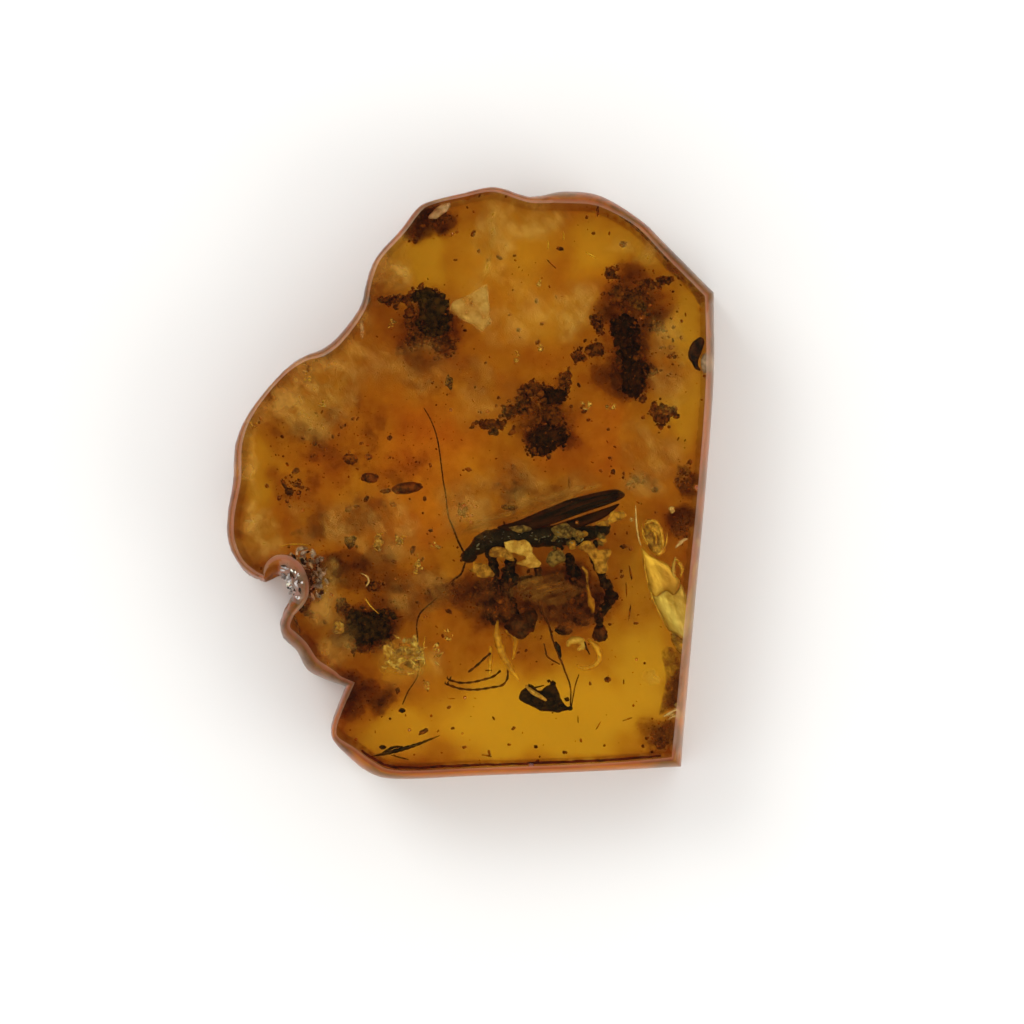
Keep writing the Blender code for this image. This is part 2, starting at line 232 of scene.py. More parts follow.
def smooth_run(points, steps=0, step=1.0):
    """Points along a curve through the given ones, without the last, in steps by number or by length."""
    rows = [Vector(p) for p in points]
    rows = [2 * rows[0] - rows[1], *rows, 2 * rows[-1] - rows[-2]]
    run = []
    for before, start, end, after in zip(rows, rows[1:], rows[2:], rows[3:]):
        run += curve_piece(before, start, end, after, steps or max(1, round((end - start).length / step)))
    return run


stretches = [smooth_run(s, OUTLINE_STEPS) for s in (CROWN, SAWN_RIGHT, SAWN_BOTTOM, FLAKED_LOBES)]
run = [p for stretch in stretches for p in stretch]
corners = [i == 0 for stretch in stretches for i in range(len(stretch))]
outer, inner = [], []
for i, here in enumerate(run):
    first = (here.xy - run[i - 1].xy).normalized()
    second = (run[(i + 1) % len(run)].xy - here.xy).normalized()
    into = Vector((second.y + first.y, -second.x - first.x)).normalized()
    mitre = 1 / max(0.6, into.dot(Vector((second.y, -second.x))))
    outer.append(here.xy)
    inner.append(here.xy + into * mitre * (DRAFT + here.z))
outer, inner = np.array(outer), np.array(inner)
print("outline corners:", len(outer), " box, mm:", outer.min(axis=0).round(2), outer.max(axis=0).round(2))

# %% Sample both rings finely
FINE_STEPS = 5


def fine_ring(points, corners):
    """A closed Catmull-Rom curve through the points, broken at the corners."""
    count = len(points)
    tangent = (np.roll(points, -1, axis=0) - np.roll(points, 1, axis=0)) / 2
    found = []
    for i in range(count):
        a, b = points[i], points[(i + 1) % count]
        start = b - a if corners[i] else tangent[i]
        end = b - a if corners[(i + 1) % count] else tangent[(i + 1) % count]
        for step in range(FINE_STEPS):
            t = step / FINE_STEPS
            found.append(
                (2 * t**3 - 3 * t**2 + 1) * a + (t**3 - 2 * t**2 + t) * start
                + (3 * t**2 - 2 * t**3) * b + (t**3 - t**2) * end
            )
    return np.array(found)


outline = fine_ring(outer, corners)
face_ring = fine_ring(inner, corners)
inset_width = np.linalg.norm(face_ring - outline, axis=1)
inward = (face_ring - outline) / inset_width[:, None]
print("fine outline:", len(outline), "points, rounded edge", inset_width.min().round(2), "to",
      inset_width.max().round(2))

# %% Tell the sawn stretches from the natural ones
SAWN_RIGHT_EDGE = 9.5
SAWN_BOTTOM_EDGE = -13.6
sawn = ((outline[:, 0] > SAWN_RIGHT_EDGE) & (outline[:, 1] < 9.6)) | (outline[:, 1] < SAWN_BOTTOM_EDGE)
blur = np.ones(9) / 9
sawn = np.convolve(np.concatenate([sawn[-4:], sawn, sawn[:4]]).astype(float), blur, "valid")
NOTCH = Vector((-9.1, -4.7))
NOTCH_REACH = 1.9
notch_share = np.clip(1.4 - np.linalg.norm(outline - np.array(NOTCH), axis=1) / NOTCH_REACH, 0, 1)
print("sawn share of the outline:", round(float(sawn.mean()), 2))

# %% [markdown]
# ## The amber
# The resin is one clear body.  Its wall is a stack of rings: a small round at the back, a wall that is lumpy
# where it is natural and flat where it is sawn, and a wider round at the front.  The two flat faces are
# filled with a fine triangle net, so that colour can be kept on their points and the polish can have the
# very shallow waves that hand grinding leaves.

# %% Rings of the wall
WIDEST_HEIGHT = 0.5
BACK_ROUND = 0.35
BEVEL_STEEPNESS = 2.0
LUMP_DEPTH = 0.3
LUMP_SIZE = 2.6
GRIT_DEPTH = 0.035
NOTCH_ROUGHNESS = 0.22
WALL_LEVELS = 26
ROUND_STEPS = 8


def lump_at(x, y, z):
    """How deep a natural wall is hollowed here."""
    wave = noise.noise(Vector((x, y, 1.6 * z)) / LUMP_SIZE)
    return LUMP_DEPTH * max(0.0, 0.35 + wave)


def rough_at(x, y, z, size):
    return noise.fractal(Vector((x, y, z)) / size, 0.6, 2.0, 4)


def wall_point(i, inset, z, natural):
    """A point of the wall, pushed in by its lumps.  natural runs from 0 at the rounds to 1 in mid-wall."""
    x, y = outline[i]
    free = 1 - sawn[i]
    push = inset + free * natural * lump_at(x, y, z)
    push += free * GRIT_DEPTH * (0.3 + natural) * rough_at(x, y, z, 0.5)
    chip = noise.cell(Vector((x, y, z)) / 0.42)
    push += notch_share[i] * NOTCH_ROUGHNESS * (0.2 + natural) * (chip - 0.35)
    return (*(outline[i] + inward[i] * max(push, 0.0 if natural else inset)), z)


def wall_rings():
    """Each ring from the back face to the front face, as a list of points in mm."""
    rings = []
    for step in range(ROUND_STEPS + 1):
        angle = math.pi / 2 * (1 - step / ROUND_STEPS)
        inset, z = BACK_ROUND * (1 - math.cos(angle)), WIDEST_HEIGHT * (1 - math.sin(angle))
        rings.append([wall_point(i, inset, z, 0) for i in range(len(outline))])
    bevel = np.maximum(inset_width - DRAFT, 0.05)
    top = slab_high.z - BEVEL_STEEPNESS * bevel
    for level in range(1, WALL_LEVELS):
        share = level / WALL_LEVELS
        natural = math.sin(math.pi * share) ** 0.6
        rings.append([
            wall_point(i, share * DRAFT, WIDEST_HEIGHT + share * (top[i] - WIDEST_HEIGHT), natural)
            for i in range(len(outline))
        ])
    for step in range(ROUND_STEPS * 2 + 1):
        angle = math.pi / 2 * step / (ROUND_STEPS * 2)
        depth = BEVEL_STEEPNESS * bevel * (1 - math.sin(angle))
        inset = DRAFT + bevel * (1 - math.cos(angle))
        rings.append([wall_point(i, inset[i], slab_high.z - depth[i], 0) for i in range(len(outline))])
    return rings


rings = wall_rings()
print("wall rings:", len(rings))

# %% A triangle net for a flat face
NET_STEP = 0.26


def inside(points, polygon):
    """Which points lie in the closed polygon."""
    x, y = points[:, 0], points[:, 1]
    hits = np.zeros(len(points), bool)
    for (ax, ay), (bx, by) in zip(polygon, np.roll(polygon, -1, axis=0)):
        crosses = (ay > y) != (by > y)
        if ay != by:
            hits ^= crosses & (x < (bx - ax) * (y - ay) / (by - ay) + ax)
    return hits


def edge_distance(points, polygon):
    """Each point's distance to the nearest corner of a finely sampled polygon."""
    return np.array([np.linalg.norm(polygon - p, axis=1).min() for p in points])


def rim_gap(x, y):
    """How far a point is from the rim of the front face, or -1 outside it."""
    spot = np.array([(x, y)])
    return edge_distance(spot, face_ring)[0] if inside(spot, face_ring)[0] else -1.0


def net_points(polygon, step, margin):
    """A slightly shaken hexagonal grid inside the polygon."""
    low, high = polygon.min(axis=0), polygon.max(axis=0)
    shaker = random.Random(4)
    rows = []
    for row, y in enumerate(np.arange(low[1], high[1], step * 0.866)):
        for x in np.arange(low[0] + (row % 2) * step / 2, high[0], step):
            rows.append((x + shaker.uniform(-0.1, 0.1) * step, y + shaker.uniform(-0.1, 0.1) * step))
    rows = np.array(rows)
    rows = rows[inside(rows, polygon)]
    return rows[edge_distance(rows, polygon) > margin]


def triangle_net(polygon, loose):
    """Triangles over a polygon and the loose points in it, as (all points, faces)."""
    points = [Vector(p) for p in polygon] + [Vector(p) for p in loose]
    count = len(polygon)
    rim = [(i, (i + 1) % count) for i in range(count)]
    made = geometry.delaunay_2d_cdt(points, rim, [], 0, 1e-6, True)
    back_to_input = [ids[0] for ids in made[3]]
    faces = np.array([[back_to_input[i] for i in face] for face in made[2]])
    middles = np.array([p.to_tuple() for p in points])[faces].mean(axis=1)
    return points, faces[inside(middles, polygon)].tolist()


# %% Build the amber body
POLISH_WAVE = 0.012
POLISHED, RIND = 0, 1


def polish_wave(x, y):
    """Hand-ground faces are flat to a hundredth of a millimetre or so, in waves a few millimetres long."""
    return POLISH_WAVE * (noise.noise(Vector((x, y, 0)) / 3.1) + 0.6 * noise.noise(Vector((x, y, 9)) / 1.3))


def build_amber():
    bm = bmesh.new()
    rows = [[bm.verts.new(Vector(p) * MM) for p in ring] for ring in rings]
    count = len(outline)
    for low, high in zip(rows, rows[1:]):
        for i in range(count):
            j = (i + 1) % count
            bm.faces.new((low[i], low[j], high[j], high[i])).material_index = RIND
    for ring, z, up in ((rows[0], 0.0, False), (rows[-1], slab_high.z, True)):
        polygon = np.array([v.co.xy for v in ring]) / MM
        loose = net_points(polygon, NET_STEP, NET_STEP * 0.7)
        points, faces = triangle_net(polygon, loose)
        verts = list(ring)
        for p in points[count:]:
            sink = abs(polish_wave(*p)) if up else 0.0
            verts.append(bm.verts.new((p.x * MM, p.y * MM, (z - sink) * MM)))
        for face in faces:
            corners = [verts[i] for i in (face if up else reversed(face))]
            bm.faces.new(corners).material_index = POLISHED
    return bm


amber_bm = build_amber()
print("amber:", len(amber_bm.verts), "points", len(amber_bm.faces), "faces")
print("open edges:", sum(1 for e in amber_bm.edges if not e.is_manifold))

# %% [markdown]
# ## How the resin is coloured
# The clear resin is honey yellow by absorption in its depth.  Over that, most of the slab carries a brown
# haze of rot that is finer than can be modelled, and some of it a warmer orange.  Those are kept as a colour
# on the points: each stain is an optical density, so stains that overlap multiply as real ones do.

# %% Stains: middle, half-widths and strength, in mm
CLEAR_ZONES = (
    (4.0, -11.8, 7.2, 3.0, 1.0), (-3.5, -12.4, 2.4, 1.7, 0.9), (8.5, -9.5, 2.2, 3.4, 1.0),
    (-2.8, 11.3, 2.4, 2.2, 1.0), (2.5, 12.0, 2.6, 2.4, 0.6), (7.5, 11.9, 3.2, 1.9, 0.9),
    (10.9, 8.6, 1.3, 3.4, 0.9), (10.6, 3.5, 1.4, 2.2, 0.8), (-10.8, 0.7, 1.1, 3.0, 0.9),
    (-9.0, 3.5, 1.7, 1.7, 0.5), (-6.5, -7.2, 1.1, 0.9, 0.6), (0.8, 11.6, 3.6, 2.2, 0.6),
    (3.4, 9.0, 2.4, 2.4, 0.45), (-7.2, 5.6, 1.4, 2.4, 0.5), (-0.5, -4.6, 1.4, 1.6, 0.2),
    (8.3, -4.6, 0.7, 2.4, 0.5), (-10.4, -2.6, 1.0, 0.8, 0.5), (-7.0, -5.2, 0.9, 0.7, 0.6),
    (-3.2, -8.7, 1.5, 1.0, 0.6),
)
ORANGE_ZONES = ((5.6, 2.0, 2.6, 2.0, 1.0), (-2.0, 1.8, 2.4, 2.4, 1.0), (-2.6, -1.5, 2.4, 1.9, 1.0))
STAIN_DENSITY = np.array((0.30, 0.70, 1.00))
ORANGE_DENSITY = np.array((-0.14, 0.02, 0.0))
RIM_DENSITY = np.array((0.60, 1.50, 2.00))
SMOKE_ZONES = (
    (-2.1, 8.0, 1.6, 2.0, 0.65), (-1.9, 8.2, 1.1, 1.3, 0.9), (7.8, 8.7, 2.0, 2.0, 0.75),
    (7.8, 5.9, 1.5, 2.4, 0.75), (7.7, 7.0, 1.0, 1.5, 1.0), (8.0, 5.3, 0.8, 1.2, 1.0),
    (3.6, 4.0, 1.6, 1.4, 0.55), (3.8, 2.4, 1.2, 1.0, 1.0), (2.0, 3.2, 1.4, 0.9, 0.40),
    (-7.1, 2.7, 3.2, 2.0, 0.42), (-4.6, 0.6, 3.0, 1.8, 0.34), (-3.8, -4.3, 2.6, 1.2, 0.45),
    (-8.6, -0.3, 1.5, 1.2, 0.45), (-6.3, -1.8, 2.5, 1.5, 0.50), (-6.6, -4.6, 2.2, 1.3, 0.70),
    (-7.3, -4.5, 1.1, 1.0, 0.80), (-3.6, -5.6, 2.6, 1.2, 0.60), (-5.1, -7.2, 1.8, 1.2, 0.95),
    (-5.2, -10.2, 1.7, 1.1, 0.90), (-6.3, -10.5, 1.0, 1.5, 0.85), (1.5, -5.6, 2.2, 1.7, 0.95),
    (4.6, -5.6, 2.6, 1.8, 0.95), (0.0, -6.2, 1.8, 1.2, 0.70), (6.5, -5.8, 1.2, 1.6, 0.60),
    (10.7, 0.2, 0.7, 0.9, 0.95), (10.5, -2.0, 0.7, 0.9, 0.90), (10.2, -9.8, 0.6, 1.7, 0.75),
    (9.3, -12.8, 1.2, 0.8, 0.65), (2.6, -0.4, 2.6, 1.0, 0.45), (8.4, 0.0, 0.9, 0.5, 0.5),
    (-8.0, -5.6, 0.9, 0.9, 0.6), (-2.2, 2.8, 1.6, 2.4, 0.2), (-1.0, 5.4, 3.0, 1.3, 0.3),
    (-1.7, 13.1, 1.0, 0.8, 1.0), (-2.9, 12.3, 0.9, 0.8, 0.9),
)


def zone_share(x, y, zones):
    """How far inside the soft-edged zones a point is, 0 to 1, with the edges made ragged."""
    warp = Vector((noise.noise(Vector((x, y, 20)) / 2.2), noise.noise(Vector((x, y, 40)) / 2.2))) * 1.1
    warp += Vector((noise.noise(Vector((x, y, 60)) / 0.8), noise.noise(Vector((x, y, 80)) / 0.8))) * 0.35
    found = 0.0
    for cx, cy, rx, ry, strength in zones:
        reach = math.hypot((x + warp.x - cx) / rx, (y + warp.y - cy) / ry)
        soft = min(1.0, max(0.0, (1.25 - reach) / 0.75))
        found = max(found, strength * soft * soft * (3 - 2 * soft))
    return found


def rim_strength(x, y):
    """The dark line along the rim is strongest at the bottom cut, the top right and the flaked lobes."""
    if y < -13.0:
        return 1.5
    if x > 4.0 and y > 8.5:
        return 1.0
    if x < -5.5 and y < -4.8:
        return 1.0
    return 0.15 if x > 9.0 else 0.45


def tint_at(x, y, edge, share):
    """The colour a face filters by.  edge is the distance from its rim in mm, share its part of the stain."""
    clear = zone_share(x, y, CLEAR_ZONES)
    orange = zone_share(x, y, ORANGE_ZONES)
    mottle = 1 + 0.5 * noise.fractal(Vector((x, y, 3)) / 1.7, 0.7, 2.0, 5)
    rim = math.exp(-((edge - 0.20) / 0.15) ** 2) * rim_strength(x, y)
    stain = (STAIN_DENSITY * mottle + ORANGE_DENSITY * orange) * (1 - clear)
    return np.minimum(np.exp(-stain * share - RIM_DENSITY * rim), 1)


# %% Put the colours and the kinds of edge on the amber's points
NO_EDGE = 9.0  # a distance from the rim at which it has no dark line
STAIN_FRONT = 0.2  # most of the stain is on the back face, where it doesn't dim its neighbours
SMOKE_FRONT, SMOKE_BACK = 0.40, 1.0
HAZE = 0.16  # the least smoke outside the clear zones
WALL_TINT = (0.62, 0.34, 0.05)
SAWN_TINT = (0.86, 0.70, 0.52)  # of the long cut on the right, which is ground but not polished
BITE_TINT = (0.86, 0.76, 0.62)  # of the bite on the left, where fresh breaks are grey
BITE, BITE_REACH = Vector((-8.00, -4.50)), 1.35
CUT_LEFT, CUT_BOTTOM, CUT_TOP = 9.0, -13.4, 9.0  # the part of the slab that the long cut bounds
WALL_SMOKE = 0.40
BACK_SKIN, FRONT_SKIN = 0.001, 0.06  # a point this near to a flat face, in mm, belongs to it


def stain_amber(bm):
    tint = bm.verts.layers.float_color.new("tint")
    cut = bm.verts.layers.float.new("sawn")
    bite = bm.verts.layers.float.new("notch")
    smoke = bm.verts.layers.float.new("smoke")
    for vert in bm.verts:
        spot = np.array(vert.co.xy) / MM
        gaps = np.linalg.norm(face_ring - spot, axis=1)
        near = int(np.argmin(gaps))
        high = vert.co.z / MM > slab_high.z - FRONT_SKIN
        if high:
            colour = tint_at(*spot, gaps[near], STAIN_FRONT)
        elif vert.co.z < BACK_SKIN * MM:
            colour = tint_at(*spot, NO_EDGE, 1 - STAIN_FRONT)
        elif spot[0] > CUT_LEFT and CUT_BOTTOM < spot[1] < CUT_TOP:
            colour = SAWN_TINT
        else:
            colour = BITE_TINT if (Vector(spot) - BITE).length < BITE_REACH + 0.2 else WALL_TINT
        vert[tint] = (*colour, 1)
        vert[cut] = sawn[near]
        vert[bite] = notch_share[near]
        deep = vert.co.z < 0.5 * slab_high.z * MM
        haze = HAZE * (1 - zone_share(*spot, CLEAR_ZONES))
        vert[smoke] = max(haze, zone_share(*spot, SMOKE_ZONES) * (SMOKE_BACK if deep else SMOKE_FRONT))
        if not high and vert.co.z > BACK_SKIN * MM:
            vert[smoke] = WALL_SMOKE * (1 - min(1, sawn[near]))


bmesh.ops.recalc_face_normals(amber_bm, faces=amber_bm.faces)
stain_amber(amber_bm)
print("volume, mm3:", round(amber_bm.calc_volume() / MM**3))

# %% Bubbles: small round hollows, whose faces look inward
BUBBLE_COUNT = 46
CLUSTER_MIDDLE, CLUSTER_SPREAD, CLUSTER_COUNT = (-0.45, -1.40), 0.38, 16  # a few crowd by the wing
chance = random.Random(12)
bubbles = []
while len(bubbles) < BUBBLE_COUNT:
    x, y = chance.uniform(-11.5, 10.5), chance.uniform(-13.0, 13.5)
    if rim_gap(x, y) > 0.9:
        bubbles.append((x, y, chance.uniform(6.10, 6.45), 0.025 + 0.08 * chance.random() ** 3))
for _ in range(CLUSTER_COUNT):
    x, y = (chance.gauss(v, CLUSTER_SPREAD) for v in CLUSTER_MIDDLE)
    bubbles.append((x, y, chance.uniform(6.05, 6.35), chance.uniform(0.04, 0.11)))
bubble_bm = bmesh.new()
for x, y, z, radius in bubbles:
    bmesh.ops.create_icosphere(bubble_bm, subdivisions=2, radius=radius * MM,
                               matrix=Matrix.Translation((x * MM, y * MM, z * MM)))
bmesh.ops.reverse_faces(bubble_bm, faces=bubble_bm.faces)
bubble_mesh = bpy.data.meshes.new("bubbles")
bubble_bm.to_mesh(bubble_mesh)
bubble_bm.free()
solid_verts = len(amber_bm.verts)
amber_bm.from_mesh(bubble_mesh)
bpy.data.meshes.remove(bubble_mesh)
amber_bm.verts.ensure_lookup_table()
for vert in amber_bm.verts[solid_verts:]:
    vert[amber_bm.verts.layers.float_color["tint"]] = (1, 1, 1, 1)
print("bubbles:", len(bubbles))

# %% Amber materials
AMBER_IOR = 1.54
SOAK_DENSITY = 300.0
SOAK_COLOUR = (0.9995, 0.852, 0.020)


def smoke_group():
    """Smoky stains: where Amount is high, wisps of the Deep colour cover the white of clear resin."""
    group = bpy.data.node_groups.new("smoke", "ShaderNodeTree")
    group.interface.new_socket("Amount", in_out="INPUT", socket_type="NodeSocketFloat")
    for name in ("Thin", "Deep"):
        tone = group.interface.new_socket(name, in_out="INPUT", socket_type="NodeSocketColor")
        tone.default_value = (1, 1, 1, 1)
    group.interface.new_socket("Color", in_out="OUTPUT", socket_type="NodeSocketColor")
    given = group.nodes.new("NodeGroupInput").outputs
    result = group.nodes.new("NodeGroupOutput")
    spot = place(group, "TexCoord").outputs["Object"]
    bend = place(group, "TexNoise", {"Vector": spot, "Scale": 420.0, "Detail": 3.0})
    bent = place(group, "VectorMath", {0: bend.outputs["Color"], 1: (0.5, 0.5, 0.5)}, operation="SUBTRACT")
    shift = place(group, "VectorMath", {0: bent.outputs[0], "Scale": 1.6 * MM}, operation="SCALE")
    moved = place(group, "VectorMath", {0: spot, 1: shift.outputs[0]}, operation="ADD").outputs[0]
    wisps = place(group, "TexNoise", {"Vector": moved, "Scale": 620.0, "Detail": 8.0, "Roughness": 0.62})
    crumbs = place(group, "TexNoise", {"Vector": spot, "Scale": 2600.0, "Detail": 4.0, "Roughness": 0.6})
    mix = place(group, "Mix", {"Factor": 0.28, "A": wisps.outputs["Fac"], "B": crumbs.outputs["Fac"]})
    spread = {"Value": mix.outputs[0], "From Min": 0.33, "From Max": 0.67, "To Min": -0.40, "To Max": 0.55}
    uneven = place(group, "MapRange", spread, clamp=False)
    gate = place(group, "MapRange", {"Value": given["Amount"], "From Max": 0.30})
    parts = {0: uneven.outputs["Result"], 1: gate.outputs["Result"], 2: given["Amount"]}
    stirred = place(group, "Math", parts, operation="MULTIPLY_ADD")
    cover = place(group, "MapRange", {"Value": stirred.outputs[0], "From Max": 1.15})
    thin = place(group, "MapRange", {"Value": cover.outputs["Result"], "From Max": 0.5})
    thick = place(group, "MapRange", {"Value": cover.outputs["Result"], "From Min": 0.4, "From Max": 1.0})
    colour = (1, 1, 1, 1)
    for part, target in ((thin, given["Thin"]), (thick, given["Deep"])):
        toned = place(group, "Mix", {"Factor": part.outputs["Result"]}, data_type="RGBA")
        before, after = colour_sockets(toned.inputs)
        if isinstance(colour, tuple):
            before.default_value = colour
        else:
            group.links.new(colour, before)
        group.links.new(target, after)
        colour = colour_sockets(toned.outputs)[0]
    group.links.new(colour, result.inputs["Color"])
    return group


smoke_wisps = smoke_group()
SMOKE_THIN = (0.62, 0.46, 0.36, 1)
SMOKE_DEEP = (0.10, 0.042, 0.030, 1)


def amber_glass(name, roughness, clearness):
    """See-through resin, coloured by its depth, by the tint kept on its points and by smoky stains."""
    made, tree, glass = new_material(name)
    glass.inputs["Transmission Weight"].default_value = clearness
    glass.inputs["IOR"].default_value = AMBER_IOR
    glass.inputs["Roughness"].default_value = roughness
    tint = place(tree, "Attribute", attribute_name="tint").outputs["Color"]
    amount = place(tree, "Attribute", attribute_name="smoke").outputs["Fac"]
    wisps = place(tree, "Group", node_tree=smoke_wisps)
    tree.links.new(amount, wisps.inputs["Amount"])
    wisps.inputs["Thin"].default_value = SMOKE_THIN
    wisps.inputs["Deep"].default_value = SMOKE_DEEP
    both = place(tree, "Mix", data_type="RGBA", blend_type="MULTIPLY")
    both.inputs["Factor"].default_value = 1.0
    for colour, socket in zip((tint, wisps.outputs["Color"]), colour_sockets(both.inputs)):
        tree.links.new(colour, socket)
    tree.links.new(colour_sockets(both.outputs)[0], glass.inputs["Base Color"])
    soak = place(tree, "VolumeAbsorption")
    soak.inputs["Color"].default_value = (*SOAK_COLOUR, 1)
    soak.inputs["Density"].default_value = SOAK_DENSITY
    tree.links.new(soak.outputs["Volume"], tree.nodes["Material Output"].inputs["Volume"])
    return made, glass


polished, _ = amber_glass("amber_polished", 0.03, 1.0)
rind, rind_glass = amber_glass("amber_rind", 0.30, 0.90)
rind_glass.inputs["Specular Tint"].default_value = (1.0, 0.64, 0.28, 1)  # a dusty rind never shines white


# %% Make the amber object
def finish_mesh(bm, name, materials, smooth=True, turn_out=True):
    """Turns a bmesh into an object of its own, with smooth shading."""
    if turn_out:
        bmesh.ops.recalc_face_normals(bm, faces=bm.faces)
    mesh = bpy.data.meshes.new(name)
    bm.to_mesh(mesh)
    bm.free()
    for material in materials:
        mesh.materials.append(material)
    mesh.polygons.foreach_set("use_smooth", [smooth] * len(mesh.polygons))
    return link(bpy.data.objects.new(name, mesh))


amber = finish_mesh(amber_bm, "amber", (polished, rind), turn_out=False)
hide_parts("amber_back", "amber_front")
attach(amber, "root")

# %% A white card between the floor and the slab, which sends light back up through it
card_points, card_faces = triangle_net(face_ring, net_points(face_ring, 1.0, 0.5))
CARD_SHARE = 0.985  # a little smaller than the slab, so that none of it shows
card_mesh = bpy.data.meshes.new("white_card")
card_spots = [(p.x * CARD_SHARE * MM, p.y * CARD_SHARE * MM, -0.5 * FLOOR_GAP * MM) for p in card_points]
card_mesh.from_pydata(card_spots, [], card_faces)
card_paint, _, paint = new_material("white_card")
paint.inputs["Base Color"].default_value = (0.93, 0.93, 0.92, 1)
paint.inputs["Roughness"].default_value = 0.9
card_mesh.materials.append(card_paint)
card = link(bpy.data.objects.new("white_card", card_mesh))

# %% [markdown]
# ## Tools for the things inside
# Everything that the resin caught is one of three shapes.  A film, a wing or a flake of bark is a pad: an
# outline filled with the same triangle net, doubled and closed at its rim.  A leg or a feeler is a strand.
# A crumb is a lump.  Each tool adds one closed shape to a mesh.

# %% Pad: a thin closed shape from an outline
def smooth_loop(corners, step):
    """A closed curve through the corners, in steps of about the given length."""
    rows = [Vector(c) for c in corners]
    count = len(rows)
    found = []
    for i in range(count):
        before, start, end, after = rows[i - 1], rows[i], rows[(i + 1) % count], rows[(i + 2) % count]
        found += curve_piece(before, start, end, after, max(1, round((end - start).length / step)))
    return np.array(found)


def pad(bm, corners, z, thick, rim=0.2, crinkle=0.0, wave=0.5, slope=(0, 0), step=0.08, ragged=0.0, slot=0,
        seed=0):
    """Lengths are in mm.  The pad has its full thickness from rim inwards, and its creases are wave long."""
    loop = smooth_loop(corners, step)
    if ragged:
        shift = [noise.noise_vector(Vector((x, y, seed)) / 0.35) * ragged for x, y in loop]
        loop = loop + np.array([(v.x, v.y) for v in shift])
    points, faces = triangle_net(loop, net_points(loop, step, step * 0.6))
    spots = np.array([(p.x, p.y) for p in points])
    edge = edge_distance(spots, loop)
    edge[:len(loop)] = 0
    swell = 0.12 + 0.88 * np.sqrt(1 - (1 - np.minimum(edge / rim, 1)) ** 2)
    middle = loop.mean(axis=0)
    sides = []
    for way in (1, -1):
        verts = []
        for (x, y), share in zip(spots, swell):
            crease = crinkle * noise.fractal(Vector((x, y, 7.3 * seed)) / wave, 0.8, 2.0, 4)
            height = z + crease + slope[0] * (x - middle[0]) + slope[1] * (y - middle[1])
            verts.append(bm.verts.new((x * MM, y * MM, (height + way * thick / 2 * share) * MM)))
        sides.append(verts)
        for face in faces:
            bm.faces.new([verts[i] for i in face]).material_index = slot
    count = len(loop)
    for i in range(count):
        j = (i + 1) % count
        bm.faces.new((sides[0][i], sides[0][j], sides[1][j], sides[1][i])).material_index = slot


# %% Strand: a closed tube through points
def strand(bm, path, sides=8, step=0.1, beads=0.0, bead_length=0.2, rough=0.0, slot=0):
    """path holds (x, y, z, radius) in mm.  Beads swell it regularly, as the joints of a feeler do."""
    run = [*smooth_run(path, step=step), Vector(path[-1])]
    side, length, rings = Vector((0, 0, 1)), 0.0, []
    for i, here in enumerate(run):
        ahead = (run[min(i + 1, len(run) - 1)].xyz - run[max(i - 1, 0)].xyz).normalized()
        side = (side - ahead * side.dot(ahead)).normalized()
        across = ahead.cross(side)
        length += (here.xyz - run[i - 1].xyz).length if i else 0.0
        radius = max(here.w, 0.004) * (1 + beads * math.cos(2 * math.pi * length / bead_length))
        ring = []
        for k in range(sides):
            angle = 2 * math.pi * k / sides
            spot = here.xyz + (side * math.cos(angle) + across * math.sin(angle)) * radius
            spot += noise.noise_vector(spot / 0.22) * radius * rough
            ring.append(bm.verts.new(spot * MM))
        rings.append(ring)
    for low, high in zip(rings, rings[1:]):
        for k in range(sides):
            n = (k + 1) % sides
            bm.faces.new((low[k], low[n], high[n], high[k])).material_index = slot
    for ring, end, inner_point in ((rings[0], run[0], run[1]), (rings[-1], run[-1], run[-2])):
        out = (end.xyz - inner_point.xyz).normalized() * max(end.w, 0.004) * 0.7
        pole = bm.verts.new((end.xyz + out) * MM)
        for k in range(sides):
            bm.faces.new((ring[k], ring[(k + 1) % sides], pole)).material_index = slot


# %% Lump: a rough closed ball
def ball_points(detail):
    """The points and faces of a round ball, made once for each level of detail."""
    ball = bmesh.new()
    bmesh.ops.create_icosphere(ball, subdivisions=detail, radius=1.0)
    ball.verts.index_update()
    points = [v.co.copy() for v in ball.verts]
    faces = [[v.index for v in f.verts] for f in ball.faces]
    ball.free()
    return points, faces


BALLS = {detail: ball_points(detail) for detail in (1, 2, 3, 4)}


def lump(bm, middle, half, rough=0.3, grain=0.8, detail=3, turn=0.0, slot=0, seed=0):
    """half holds the half-sizes in mm; turn is about the upright axis, in degrees."""
    points, faces = BALLS[detail]
    spin = Matrix.Rotation(math.radians(turn), 3, "Z") @ Matrix.Diagonal(half)
    shift = Vector((seed * 3.7, seed, 0))
    verts = []
    for point in points:
        swell = 1 + rough * noise.fractal(point / grain + shift, 0.8, 2.0, 4)
        verts.append(bm.verts.new((spin @ (point * swell) + Vector(middle)) * MM))
    for face in faces:
        bm.faces.new([verts[i] for i in face]).material_index = slot


